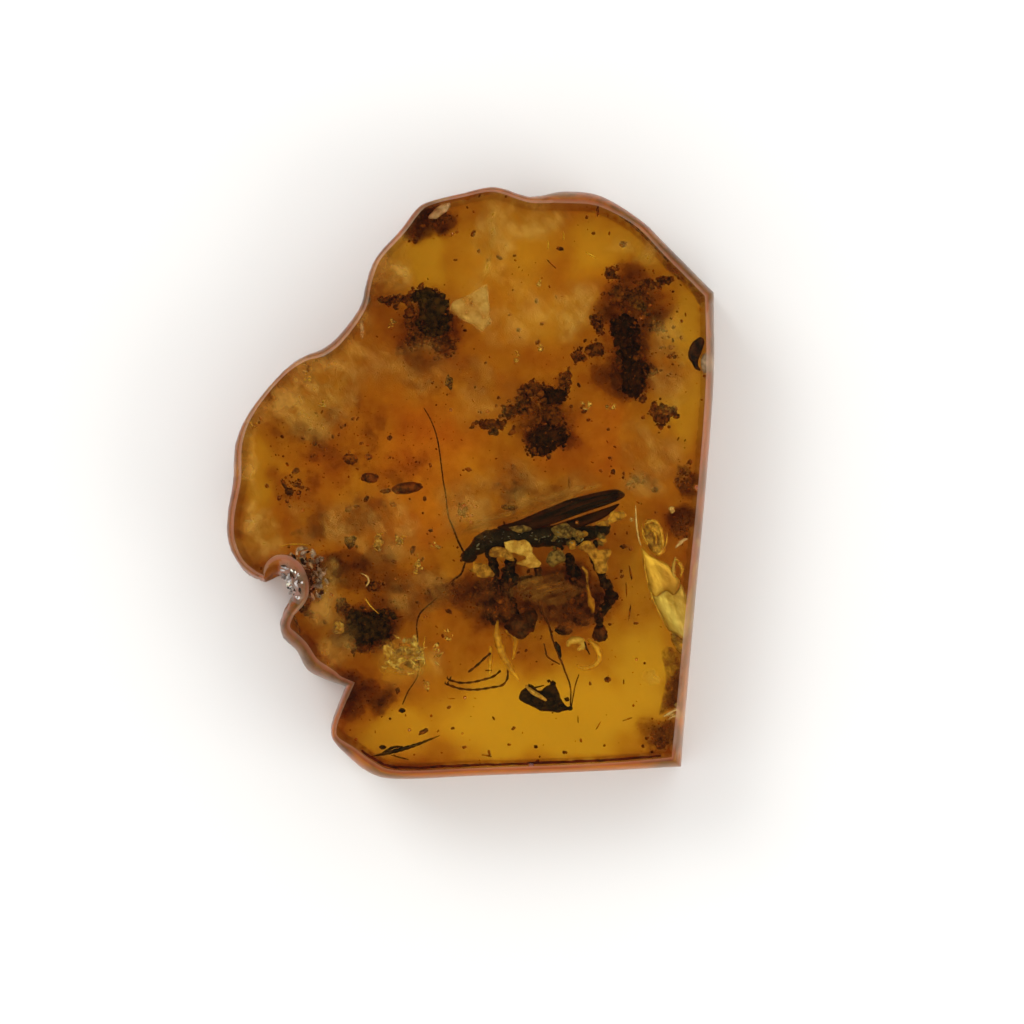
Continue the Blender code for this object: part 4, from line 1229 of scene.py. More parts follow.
# %% [markdown]
# ## Bark flake, splinter and pellets
# These have a shape of their own, so each is made alone: the flake is a pad with a pale strip on it, the
# splinter a bundle of strands, and the pellets, which an insect larva left behind, are plain ovals.

# %% Bark flake
FLAKE = (
    (2.39, -10.54), (2.55, -10.23), (2.93, -10.00), (3.31, -10.23), (3.70, -10.08), (4.08, -9.93),
    (4.23, -10.08), (4.46, -10.69), (4.69, -11.00), (4.98, -11.25), (4.54, -11.32), (3.77, -11.32),
    (3.01, -11.08), (2.47, -10.77),
)
bark_dark = matter("bark_dark", (0.006, 0.003, 0.002), (0.050, 0.024, 0.008), 0.5, 0.2, 2.0, -20.0,
                   relief=1.0, **DULL)
bark_pale = matter("bark_pale", (0.35, 0.22, 0.05), (0.75, 0.52, 0.16), 0.45, 0.25, relief=0.5)
flake_bm = bmesh.new()
pad(flake_bm, FLAKE, 4.25, 0.34, 0.12, 0.10, 0.4, (0.03, 0.02), 0.06, ragged=0.08, seed=31)
inner_flake = [(x * 0.6 + 1.5, y * 0.6 - 4.3) for x, y in FLAKE]
pad(flake_bm, inner_flake, 4.42, 0.16, 0.1, 0.1, 0.3, step=0.06, ragged=0.1, seed=32)
strand(flake_bm, ((2.70, -10.02, 4.60, 0.05), (3.01, -10.31, 4.60, 0.12), (3.45, -10.58, 4.60, 0.11),
                  (3.72, -10.75, 4.56, 0.06)), sides=10, slot=1)
strand(flake_bm, ((2.85, -9.95, 4.5, 0.03), (3.10, -10.12, 4.6, 0.04), (3.60, -10.02, 4.6, 0.03)))
for x, y, size in ((4.05, -9.90, 0.14), (4.75, -10.70, 0.12), (4.90, -11.15, 0.13), (3.85, -9.80, 0.09)):
    lump(flake_bm, (x, y, 4.4), (size, size * 0.8, size * 0.6), 0.4, detail=3, seed=int(x * 10))
flake = finish_mesh(flake_bm, "bark_flake_rot", (bark_dark, bark_pale))
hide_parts("bark_flake")
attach(flake, "root")

# %% Splinter
SPLINTER_STRANDS = (
    ((-4.95, -13.55, 4.15, 0.02), (-4.00, -13.33, 4.20, 0.10), (-3.00, -13.05, 4.22, 0.09),
     (-2.10, -12.72, 4.26, 0.05), (-1.55, -12.50, 4.30, 0.015)),
    ((-4.50, -13.42, 4.25, 0.03), (-3.90, -13.10, 4.25, 0.07), (-3.40, -13.05, 4.25, 0.03)),
    ((-3.95, -13.48, 4.10, 0.02), (-3.40, -13.62, 4.10, 0.04), (-3.10, -13.70, 4.10, 0.02)),
)
splinter_bm = bmesh.new()
for path in SPLINTER_STRANDS:
    strand(splinter_bm, path, sides=8, step=0.06, beads=0.12, bead_length=0.31)
lump(splinter_bm, (-4.38, -13.08, 4.3), (0.17, 0.11, 0.10), 0.4, detail=3, seed=9)
splinter = finish_mesh(splinter_bm, "splinter_wood", (rot_olive,))
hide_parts("splinter")
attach(splinter, "root")

# %% Pellets
PELLETS = {  # middle, half-sizes and turn in degrees
    "pellet_long": ((-3.20, -0.24, 4.3), (0.74, 0.30, 0.28), 8),
    "pellet_short": ((-5.02, 0.26, 4.3), (0.40, 0.26, 0.24), -12),
}
pellet_brown = matter("pellet_brown", (0.050, 0.014, 0.004), (0.28, 0.090, 0.020), 0.4, 0.3, relief=0.5,
                      **DULL)
for number, (name, (middle, half_sizes, turn)) in enumerate(PELLETS.items()):
    pellet_bm = bmesh.new()
    lump(pellet_bm, middle, half_sizes, 0.14, 0.7, 4, turn=turn, seed=number + 3)
    for end in (-1, 1):
        away = end * half_sizes[0] * 0.8
        tip = (middle[0] + away, middle[1] + away * 0.14, middle[2])
        lump(pellet_bm, tip, (0.13, 0.11, 0.1), 0.4, detail=3, seed=number + end + 20)
    pellet = finish_mesh(pellet_bm, name + "_dropping", (pellet_brown,))
    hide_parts(name)
    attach(pellet, "root")

# %% Single crumbs, each with its half-sizes and its turn in degrees
SINGLE_CRUMBS = (
    (-4.24, -0.38, 0.30, 0.13, 5), (-5.07, 1.30, 0.18, 0.16, 0), (-5.20, -0.77, 0.12, 0.20, -20),
    (-3.87, -1.06, 0.17, 0.13, 0), (-6.10, -1.27, 0.20, 0.16, 30), (-5.70, -1.15, 0.16, 0.10, 0),
    (-2.30, -0.77, 0.10, 0.14, 0), (-0.14, 0.68, 0.18, 0.12, -20), (-8.70, 0.60, 0.25, 0.14, 30),
    (-9.26, -0.06, 0.13, 0.36, 25), (-9.00, -0.42, 0.26, 0.22, 0), (-2.90, -3.30, 0.13, 0.24, -20),
    (-3.80, -3.90, 0.17, 0.10, 0), (-2.00, -2.34, 0.12, 0.10, 0), (-2.70, -5.90, 0.10, 0.08, 0),
    (-1.10, -6.36, 0.20, 0.11, -30), (-7.27, -6.86, 0.11, 0.13, 0), (7.55, 11.86, 0.22, 0.18, 0),
    (5.73, 13.20, 0.08, 0.11, 0), (6.27, 13.45, 0.07, 0.28, 0), (6.06, 12.40, 0.11, 0.08, 0),
    (4.40, 11.65, 0.22, 0.10, -10), (1.40, 11.20, 0.20, 0.10, -30), (3.98, 10.85, 0.36, 0.05, -45),
    (0.10, 12.40, 0.12, 0.20, -25), (0.38, 11.50, 0.09, 0.12, 0), (3.24, 9.04, 0.10, 0.16, 0),
    (3.50, 7.90, 0.12, 0.09, 0), (2.37, 7.60, 0.13, 0.12, 0), (3.30, 6.97, 0.15, 0.11, 30),
    (10.00, 9.50, 0.07, 0.07, 0), (10.20, 8.50, 0.08, 0.06, 0), (10.40, 7.20, 0.09, 0.11, 0),
    (9.40, 6.70, 0.10, 0.10, 0), (10.00, 5.90, 0.08, 0.06, 0), (10.30, 5.85, 0.05, 0.05, 0),
    (9.40, 5.60, 0.13, 0.08, 0), (5.60, 3.57, 0.16, 0.11, 20), (6.80, 2.70, 0.10, 0.09, 0),
    (7.03, 0.55, 0.12, 0.15, 0), (6.86, 1.25, 0.10, 0.08, 0), (4.86, 0.06, 0.05, 0.28, 0),
    (9.10, -0.32, 0.20, 0.14, 0), (8.20, 0.20, 0.15, 0.20, 0), (7.57, -3.14, 0.20, 0.13, 0),
    (7.90, -3.25, 0.12, 0.11, 0), (6.76, -9.75, 0.17, 0.16, 0), (5.89, -9.92, 0.07, 0.12, 0),
    (-4.36, -13.10, 0.15, 0.10, 0), (-2.36, -12.30, 0.32, 0.12, 30), (-1.09, -11.10, 0.13, 0.09, 20),
    (-0.91, -12.13, 0.11, 0.07, 20), (-0.34, -13.06, 0.13, 0.08, 0), (0.79, -13.50, 0.28, 0.05, -12),
    (0.90, -13.38, 0.07, 0.18, 10), (1.88, -12.97, 0.10, 0.07, 0), (2.10, -12.15, 0.12, 0.10, 30),
    (3.20, -13.06, 0.12, 0.09, 0), (4.66, -13.36, 0.14, 0.09, -20), (6.30, -12.00, 0.25, 0.035, 60),
    (6.60, -13.00, 0.07, 0.07, 0), (7.75, -11.68, 0.30, 0.035, 18), (5.30, -11.70, 0.03, 0.20, 0),
    (-3.45, -11.28, 0.17, 0.11, 0), (-3.64, -10.30, 0.11, 0.20, 0), (-0.97, -10.67, 0.20, 0.03, 0),
    (2.72, -8.30, 0.11, 0.07, 40), (7.90, -4.45, 0.05, 0.40, 10), (7.70, -5.30, 0.04, 0.40, 5),
    (7.85, -6.40, 0.05, 0.45, -8), (8.15, -6.93, 0.16, 0.07, 0), (-6.00, 1.20, 0.42, 0.28, -10),
)
crumb_bm = bmesh.new()
levels = random.Random(8)
for number, (x, y, rx, ry, turn) in enumerate(SINGLE_CRUMBS):
    half_sizes = (0.85 * rx, 0.85 * ry, min(rx, ry) * 0.7)
    lump(crumb_bm, (x, y, levels.uniform(3.2, 5.4)), half_sizes, 0.5, 0.6, 3, turn=turn, slot=number % 2,
         seed=number + 200)

# %% Crumbs that lie loosely together
LOOSE_ROT = (  # middle, half-sizes and count of crumbs that lie loosely together
    (9.40, -12.60, 0.60, 0.70, 110), (9.90, -13.10, 0.50, 0.30, 50), (10.60, 0.20, 0.40, 0.60, 60),
    (10.40, -2.20, 0.35, 0.50, 40), (3.00, -4.80, 2.40, 0.50, 120), (1.50, -5.80, 1.20, 0.90, 110),
    (5.40, -6.20, 1.20, 0.90, 120), (-0.60, -5.60, 1.20, 0.60, 50), (8.20, 0.10, 0.50, 0.35, 40),
    (9.30, 3.40, 0.60, 0.60, 50), (9.90, 6.50, 0.70, 1.60, 60), (8.60, 8.80, 0.60, 0.80, 60),
    (-8.80, -0.20, 0.70, 0.60, 60), (-7.00, 2.60, 1.60, 1.20, 60), (2.30, 3.50, 1.00, 0.60, 60),
    (-2.90, 12.40, 0.40, 0.40, 40), (-1.60, 13.10, 0.50, 0.30, 40), (-7.90, -5.90, 0.50, 0.50, 40),
)
for number, (x, y, rx, ry, count) in enumerate(LOOSE_ROT):
    chance = random.Random(number + 400)
    for _ in range(count):
        size = 0.02 + 0.13 * chance.random() ** 3
        middle = (x + chance.gauss(0, 0.6) * rx, y + chance.gauss(0, 0.6) * ry, chance.uniform(3.6, 5.0))
        if rim_gap(*middle[:2]) < 0.3:
            continue
        half_sizes = (size, size * chance.uniform(0.5, 1), size * 0.7)
        lump(crumb_bm, middle, half_sizes, 0.45, 0.7, 1 if size < 0.05 else 2, turn=chance.uniform(0, 180),
             slot=chance.choice((0, 1, 1)), seed=number)
single_crumbs = finish_mesh(crumb_bm, "crumbs", (rot_brown, speck_brown))
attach(single_crumbs, "root")

# %% [markdown]
# ## Cracks and curls
# A crack inside resin holds a film of air that mirrors the light, so it shines like metal foil.  Real total
# reflection would need many bounces of light, so a thin pad with a metal finish stands for it, and its bright
# gold, pale and white colours are painted reflection.  A smooth crack is a plain pad, and a shattered one is
# creased.  Turned-up edges are strands.

# %% Materials of the cracks
foil_gold = matter("crack_gold", (0.66, 0.42, 0.04), (1.0, 0.84, 0.20), 0.25, 0.25, relief=0.8, Metallic=0.4)
foil_pale = matter("crack_pale", (0.50, 0.38, 0.08), (0.84, 0.82, 0.36), 0.30, 1.1, 3.0, 60.0, relief=0.3,
                   Metallic=0.3)
# a near-white finish for painted glints and highlights on cracks
foil_white_glint = matter("crack_white_glint", (0.80, 0.76, 0.55), (1.0, 1.0, 0.90), 0.15, 0.2, relief=0.8, Metallic=0.4)
foil_brown = matter("crack_brown", (0.06, 0.028, 0.005), (0.34, 0.18, 0.03), 0.25, 0.4, relief=0.6,
                    Metallic=0.3)
# grey of broken resin, and also of painted highlights on the rim and painted glints in the bite
grey_break_and_highlight = matter("grey_chip_and_highlight", (0.22, 0.19, 0.17), (0.66, 0.60, 0.56), 0.35, 0.4, relief=0.6)
foil_honey = matter("crack_honey", (0.26, 0.14, 0.015), (0.85, 0.62, 0.12), 0.28, 0.35, relief=0.9,
                    Metallic=0.3)
foil_amber = matter("crack_amber", (0.46, 0.29, 0.03), (0.74, 0.58, 0.12), 0.30, 1.1, 3.0, 60.0, relief=0.3,
                    Metallic=0.3)
foil_red = matter("crack_red", (0.06, 0.010, 0.003), (0.22, 0.035, 0.006), 0.3, 0.5, **DULL)
GOLD, PALE, WHITE_GLINT, BROWN, GREY, HONEY, RED, ROT, AMBER = range(9)
crack_finishes = (foil_gold, foil_pale, foil_white_glint, foil_brown, grey_break_and_highlight, foil_honey, foil_red, rot_dark,
                  foil_amber)

# %% The great crack by the sawn side
SICKLE = (
    (8.82, -4.85), (8.90, -5.40), (9.15, -6.05), (9.48, -6.80), (9.82, -7.30), (10.17, -7.47),
    (10.50, -7.69), (10.70, -7.36), (10.74, -6.71), (10.72, -6.06), (10.60, -5.47), (10.38, -5.00),
    (10.00, -5.25), (9.50, -4.95), (9.15, -5.10),
)
SICKLE_TOP = (
    (8.46, -3.20), (8.50, -3.80), (8.62, -4.45), (8.82, -5.20), (9.10, -5.60), (9.60, -5.35), (10.05, -5.50),
    (10.35, -4.95), (10.10, -4.50), (9.80, -4.10), (9.40, -3.80), (8.90, -3.60),
)
SICKLE_TIP = (
    (9.90, -7.36), (10.17, -7.45), (10.45, -7.69), (10.62, -7.96), (10.60, -8.39), (10.50, -8.63),
    (10.28, -8.39), (10.06, -8.12), (9.90, -7.74),
)
CURLED_LOBE = (
    (8.60, -1.89), (8.87, -1.78), (9.19, -1.89), (9.47, -2.27), (9.58, -2.81), (9.61, -3.35), (9.36, -3.59),
    (9.09, -3.52), (8.87, -3.30), (8.71, -3.03), (8.54, -2.59),
)
crack_bm = bmesh.new()
# the sickle's pale, greenish colour is painted reflection of a tilted crack
pad(crack_bm, SICKLE, 5.12, 0.12, 0.35, 0.03, 1.2, (0.26, -0.04), 0.08, ragged=0.05, slot=PALE, seed=41)
pad(crack_bm, SICKLE_TOP, 5.04, 0.10, 0.30, 0.02, 1.0, (0.22, -0.10), 0.08, ragged=0.05, slot=AMBER, seed=44)
pad(crack_bm, SICKLE_TIP, 5.00, 0.12, 0.2, 0.06, 0.6, (0.20, 0.10), 0.07, slot=HONEY, seed=42)
pad(crack_bm, CURLED_LOBE, 5.05, 0.16, 0.3, 0.16, 0.55, (0.16, 0.0), 0.06, slot=HONEY, seed=43)
# the white curl by the left rim is a painted reflection, and the gold line above the bite a painted highlight
CURLS = (  # points with radius, finish
    (((8.62, -2.02, 5.2, 0.05), (9.03, -1.86, 5.2, 0.09), (9.32, -2.16, 5.2, 0.10),
      (9.45, -2.59, 5.2, 0.11), (9.50, -3.14, 5.2, 0.10), (9.36, -3.46, 5.2, 0.08),
      (9.14, -3.52, 5.2, 0.05)), GOLD),
    (((8.44, -2.05, 5.15, 0.02), (8.54, -2.59, 5.15, 0.05), (8.74, -3.06, 5.15, 0.03)), GOLD),
    (((8.90, -2.30, 5.2, 0.03), (9.12, -2.55, 5.2, 0.07), (9.16, -3.00, 5.2, 0.04)), GOLD),
    (((8.14, -1.10, 5.1, 0.02), (8.18, -1.94, 5.1, 0.05), (8.29, -2.70, 5.1, 0.045),
      (8.41, -3.08, 5.1, 0.02)), WHITE_GLINT),
    (((8.55, -3.50, 5.0, 0.02), (8.64, -4.44, 4.95, 0.035), (8.86, -5.30, 4.95, 0.04),
      (9.18, -6.17, 4.95, 0.04), (9.82, -7.32, 4.95, 0.03)), GOLD),
    (((10.12, -3.20, 5.3, 0.03), (10.33, -2.97, 5.3, 0.10), (10.55, -2.80, 5.3, 0.08),
      (10.72, -2.76, 5.3, 0.02)), WHITE_GLINT),
    (((10.12, -3.68, 5.2, 0.04), (10.02, -4.11, 5.2, 0.10), (10.04, -4.55, 5.2, 0.09),
      (10.24, -5.00, 5.2, 0.03)), PALE),
    (((10.12, -3.73, 5.1, 0.04), (10.33, -4.00, 5.1, 0.11), (10.46, -4.27, 5.1, 0.09),
      (10.37, -4.65, 5.1, 0.03)), GOLD),
    (((-9.40, -3.12, 4.9, 0.02), (-8.95, -3.02, 4.9, 0.05), (-8.40, -3.02, 4.9, 0.05),
      (-7.95, -3.10, 4.9, 0.02)), GOLD),
    (((-5.44, -4.46, 5.0, 0.02), (-5.15, -4.62, 5.0, 0.05), (-5.07, -4.87, 5.0, 0.06),
      (-5.20, -5.12, 5.0, 0.03)), WHITE_GLINT),
    (((-5.24, -5.70, 5.0, 0.03), (-5.11, -5.91, 5.0, 0.05), (-4.86, -6.20, 5.0, 0.04),
      (-4.57, -6.45, 5.0, 0.02)), GOLD),
    (((-2.29, -7.61, 4.8, 0.02), (-2.38, -8.19, 4.8, 0.06), (-2.46, -8.69, 4.8, 0.02)), GOLD),
    (((-11.20, -1.86, 5.2, 0.03), (-11.02, -1.88, 5.2, 0.07), (-10.78, -1.90, 5.2, 0.03)), WHITE_GLINT),
    (((9.50, -11.55, 5.3, 0.02), (9.80, -11.40, 5.3, 0.07), (10.10, -11.20, 5.3, 0.06),
      (10.35, -10.95, 5.3, 0.02)), WHITE_GLINT),
    (((9.75, -11.70, 5.2, 0.02), (10.05, -11.52, 5.2, 0.05), (10.35, -11.40, 5.2, 0.02)), WHITE_GLINT),
    (((10.05, -10.95, 5.2, 0.02), (10.20, -11.25, 5.2, 0.05), (10.40, -11.55, 5.2, 0.02)), GREY),
    (((9.45, -3.30, 5.3, 0.03), (9.66, -2.95, 5.3, 0.06), (9.70, -2.50, 5.3, 0.03)), HONEY),
    (((6.60, 13.66, 6.3, 0.02), (7.60, 13.06, 6.3, 0.06), (8.50, 12.26, 6.3, 0.06),
      (9.20, 11.56, 6.3, 0.07), (9.75, 10.95, 6.3, 0.04)), BROWN),
    (((-9.10, -6.25, 6.2, 0.02), (-8.75, -6.60, 6.2, 0.06), (-8.55, -7.10, 6.2, 0.07),
      (-8.45, -7.70, 6.2, 0.06), (-8.00, -8.10, 6.2, 0.02)), BROWN),
    (((1.12, 12.75, 4.8, 0.02), (1.15, 12.55, 4.8, 0.05), (1.18, 12.35, 4.8, 0.02)), WHITE_GLINT),
    (((3.80, 12.00, 4.8, 0.02), (3.83, 11.80, 4.8, 0.05), (3.80, 11.60, 4.8, 0.02)), GOLD),
    (((4.55, 12.45, 4.8, 0.02), (4.60, 12.25, 4.8, 0.05), (4.58, 12.05, 4.8, 0.02)), GOLD),
    (((5.70, 11.45, 4.8, 0.02), (5.95, 11.30, 4.8, 0.035), (6.20, 11.15, 4.8, 0.02)), GOLD),
)
for path, finish in CURLS:
    strand(crack_bm, path, sides=10, step=0.06, beads=0.15, bead_length=0.33, slot=finish)

# %% A grey chip with a brown crescent round it, and a pale crescent in the pit at the top left
CRESCENT = (
    (10.74, 6.47), (10.95, 6.97), (11.28, 7.21), (11.53, 7.01), (11.37, 6.39), (11.20, 5.97), (11.37, 5.56),
    (11.12, 5.64), (10.87, 5.97),
)
PALE_CRESCENT = (
    (-2.10, 13.10), (-1.85, 13.48), (-1.45, 13.78), (-1.02, 13.84), (-1.10, 13.50), (-1.42, 13.28),
    (-1.75, 13.05),
)
pad(crack_bm, CRESCENT, 5.9, 0.14, 0.12, 0.08, 0.4, step=0.06, ragged=0.06, slot=ROT, seed=51)
lump(crack_bm, (11.60, 5.93, 6.05), (0.24, 0.50, 0.12), 0.12, 0.8, 4, slot=GREY, seed=52)
pad(crack_bm, PALE_CRESCENT, 6.0, 0.10, 0.08, 0.05, 0.4, step=0.05, ragged=0.04, slot=WHITE_GLINT, seed=53)

# %% The dark red line that runs along the bottom cut, and grey lumps along the rim that are painted highlights of its rounded crest
rim_line = [(x, y + 0.14, 6.45, 0.06) for x, y in face_ring if y < -13.3 and x > -5.5]
rim_line = sorted(rim_line)[::6]
strand(crack_bm, rim_line, sides=8, step=0.3, rough=0.6, slot=RED)
RIM_CREST_HIGHLIGHTS = (
    ((4.15, 14.05, 6.0), (0.95, 0.17, 0.12), -4), ((-5.15, 9.00, 6.1), (0.14, 0.30, 0.10), -20),
    ((-7.20, 6.45, 6.1), (0.38, 0.15, 0.10), 32), ((11.05, 9.90, 6.2), (0.10, 0.40, 0.08), 40),
)
for number, (middle, half_sizes, turn) in enumerate(RIM_CREST_HIGHLIGHTS):
    lump(crack_bm, middle, half_sizes, 0.35, 0.8, 4, turn=turn, slot=GREY, seed=number + 300)

# %% Shattered patches: middle, half-sizes, finish
# the white patches are painted glints
SHATTERED = (
    (-3.40, -8.60, 1.15, 0.95, GOLD), (-2.60, -8.50, 0.35, 0.85, GOLD), (-6.48, -7.18, 0.32, 0.38, GOLD),
    (-4.60, -2.90, 0.30, 0.50, GOLD), (-3.55, -2.80, 0.28, 0.28, GOLD), (-2.60, -4.05, 0.30, 0.46, GOLD),
    (-1.70, -3.12, 0.24, 0.14, GOLD), (-0.42, -1.30, 0.34, 0.46, BROWN), (-1.75, -8.30, 0.22, 0.75, GOLD),
    (-2.20, -10.00, 0.20, 0.26, GOLD), (-1.10, -7.50, 0.20, 0.34, GOLD), (9.85, -11.45, 0.30, 0.12, WHITE_GLINT),
    (10.25, -11.15, 0.22, 0.30, WHITE_GLINT), (7.93, -1.78, 0.12, 0.12, WHITE_GLINT), (9.95, -1.30, 0.18, 0.18, WHITE_GLINT),
    (3.50, 6.70, 0.14, 0.22, GOLD), (3.35, 9.90, 0.10, 0.16, GOLD), (5.70, 3.80, 0.30, 0.30, GOLD),
    (6.90, 3.70, 0.28, 0.26, GOLD), (0.85, 8.05, 0.16, 0.26, WHITE_GLINT), (-3.90, 7.95, 0.22, 0.26, GOLD),
    (8.40, 8.80, 0.36, 0.34, BROWN), (-8.10, 5.40, 0.20, 0.46, GOLD), (-7.25, 3.90, 0.12, 0.30, GOLD),
    (-10.70, 2.80, 0.30, 0.16, GOLD), (1.10, 2.60, 0.30, 0.26, BROWN), (2.30, 6.20, 0.10, 0.40, GOLD),
    (-1.10, 5.00, 0.20, 0.40, BROWN), (0.50, -6.00, 0.30, 0.20, BROWN), (1.90, -1.20, 0.50, 0.16, BROWN),
    (-9.30, -4.10, 0.42, 0.36, GREY), (-6.00, -2.90, 0.40, 0.36, BROWN),
)


def ragged_oval(x, y, rx, ry, seed, count=11):
    chance = random.Random(seed)
    corners = []
    for i in range(count):
        angle = -2 * math.pi * i / count
        reach = chance.uniform(0.65, 1.15)
        corners.append((x + rx * reach * math.cos(angle), y + ry * reach * math.sin(angle)))
    return corners


def ridges(x, y, rx, ry, level, seed, per_mm2=26, bold=1.0):
    """Bright creases of a shattered spot: short bent strands, most of them along one direction."""
    chance = random.Random(seed)
    lean = chance.uniform(0, math.pi)
    for _ in range(5 + round(per_mm2 * rx * ry)):
        angle, reach = chance.uniform(0, 2 * math.pi), math.sqrt(chance.random())
        spot = Vector((x + rx * reach * math.cos(angle), y + ry * reach * math.sin(angle)))
        way = lean + chance.gauss(0, 0.7)
        length = chance.uniform(0.10, 0.32) * (0.5 + max(rx, ry))
        bend = chance.uniform(-0.9, 0.9)
        z = level + chance.uniform(-0.15, 0.15)
        thick = bold * (0.016 + 0.042 * chance.random() ** 2)
        path = []
        for share, width in ((0, 0.3), (0.35, 1.0), (0.7, 0.8), (1, 0.2)):
            path.append((spot.x, spot.y, z, thick * width))
            turn = way + bend * share
            spot = spot + Vector((math.cos(turn), math.sin(turn))) * length / 3
        finish = chance.choice((GOLD, GOLD, GOLD, PALE, HONEY))
        strand(crack_bm, path, sides=6, step=0.08, rough=0.8, slot=finish)


for number, (x, y, rx, ry, finish) in enumerate(SHATTERED):
    size = min(rx, ry)
    if finish == GOLD:
        ridges(x, y, rx, ry, 6.15, number, per_mm2=13, bold=1.9 if rx > 1 else 1.2)
        for flake_number in range(3 + round(6 * rx * ry)):
            spot = random.Random(number * 31 + flake_number)
            scale = spot.uniform(0.05, 0.13)
            middle = (x + spot.uniform(-0.7, 0.7) * rx, y + spot.uniform(-0.7, 0.7) * ry,
                      spot.uniform(6.05, 6.25))
            lump(crack_bm, middle, (scale, scale * 0.7, scale * 0.35), 0.5, 0.7, 2, turn=spot.uniform(0, 180),
                 slot=spot.choice((GOLD, HONEY)), seed=flake_number)
    else:
        pad(crack_bm, ragged_oval(x, y, rx, ry, number), 4.7, 0.06 + 0.1 * size, size * 0.5,
            0.16 + 0.22 * size, 0.12 + 0.25 * size, step=max(0.035, size * 0.09), ragged=0.1 * size,
            slot=finish, seed=number + 70)

# %% Folded leaves of the big shattered patch, each tilted its own way
LEAVES = (  # middle, half-sizes, tilt
    (-2.75, -8.05, 0.22, 0.52, (0.5, 0.3)), (-3.30, -8.30, 0.45, 0.26, (-0.4, 0.5)),
    (-3.75, -8.85, 0.50, 0.22, (0.3, -0.6)), (-2.90, -8.95, 0.40, 0.24, (-0.5, -0.4)),
    (-4.10, -8.35, 0.24, 0.40, (0.6, 0.2)), (-3.35, -9.35, 0.50, 0.10, (0.1, 0.8)),
    (-2.40, -8.70, 0.16, 0.48, (0.7, -0.1)), (-3.05, -7.75, 0.26, 0.12, (0.2, 0.7)),
    (-6.48, -7.15, 0.24, 0.30, (0.4, 0.4)), (-4.55, -2.95, 0.24, 0.40, (0.5, 0.2)),
    (-3.55, -2.80, 0.20, 0.16, (-0.4, 0.4)), (-2.62, -4.00, 0.16, 0.30, (0.5, -0.3)),
)
for number, (x, y, rx, ry, tilt) in enumerate(LEAVES):
    size = min(rx, ry)
    pad(crack_bm, ragged_oval(x, y, rx, ry, number + 60), 6.1, 0.03, size * 0.5, 0.14, 0.30, tilt, 0.04,
        ragged=0.12, slot=(GOLD, HONEY)[number % 2], seed=number + 170)

# %% Glassy splinters where the bite was taken: small white and grey lumps, partly grey broken resin and partly painted glints of the broken face
GLINT_COUNT = 480
wall_spots = []
bite_layer = amber.data.attributes["notch"].data
for vert in amber.data.vertices:
    if bite_layer[vert.index].value > 0.3 and 2.0 < vert.co.z / MM < 6.9:
        if (vert.co.xy / MM - BITE).length < BITE_REACH:
            wall_spots.append(vert.co / MM)
glints = random.Random(17)
for number in range(GLINT_COUNT):
    size = 0.03 + 0.12 * glints.random() ** 2.5
    if number % 4 == 0 and wall_spots:
        spot = glints.choice(wall_spots) + Vector((glints.gauss(0, 0.05), glints.gauss(0, 0.05), 0))
    else:
        angle, reach = glints.uniform(0, 2 * math.pi), BITE_REACH * math.sqrt(glints.random())
        spot = Vector((BITE[0] + reach * math.cos(angle), BITE[1] + reach * math.sin(angle), 0))
        gap = rim_gap(*spot.xy)
        if gap > 1.1 * glints.random() ** 0.5 or gap < 0.08:
            continue
        spot.z = glints.uniform(6.0, 6.6)
    lump(crack_bm, spot, (size * 1.5, size * 0.8, size * 0.3), 0.8, 0.8, 1 if size < 0.05 else 2,
         turn=glints.uniform(0, 180), slot=glints.choice((WHITE_GLINT, GREY, GREY, ROT)), seed=number)
cracks = finish_mesh(crack_bm, "cracks", crack_finishes)
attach(cracks, "root")
print("cracks:", len(cracks.data.polygons), "faces")

# %% [markdown]
# ## Milky veils
# Clouds of bubbles too small to see make parts of the resin milky.  Each is a thin pad whose finish is mostly
# see-through, in wisps.

# %% Material of the veils
def veil_finish(name, dark, light, strength, size, stretch=1.0, turn=0.0):
    """Mostly see-through: a point is covered by its own fade value times wisps of noise."""
    made, tree, surface, texture = grained(name, dark, light, size, stretch, turn)
    cover = place(tree, "MapRange", {"Value": texture["Mask"], "To Min": 0.1, "To Max": strength})
    fade = place(tree, "Attribute", attribute_name="fade").outputs["Fac"]
    alpha = place(tree, "Math", {0: cover.outputs["Result"], 1: fade}, operation="MULTIPLY")
    tree.links.new(alpha.outputs[0], surface.inputs["Alpha"])
    surface.inputs["Roughness"].default_value = 0.6
    surface.inputs["Specular IOR Level"].default_value = 0.1
    return made


veil_beige = veil_finish("veil_beige", (0.80, 0.60, 0.30), (1.0, 0.92, 0.66), 0.95, 0.9)
veil_thin = veil_finish("veil_thin", (0.60, 0.42, 0.10), (0.95, 0.78, 0.28), 0.5, 0.8)
veil_streaked = veil_finish("veil_streaked", (0.24, 0.12, 0.03), (0.60, 0.38, 0.14), 0.7, 0.4, 5.0, -16.0)
veil_brown = veil_finish("veil_brown", (0.07, 0.024, 0.005), (0.30, 0.115, 0.024), 0.75, 0.5)
milk = veil_finish("milk", (0.42, 0.25, 0.06), (0.95, 0.70, 0.24), 0.62, 1.0, 1.3, 55.0)
BEIGE, THIN, STREAKED, ROTTEN = range(4)

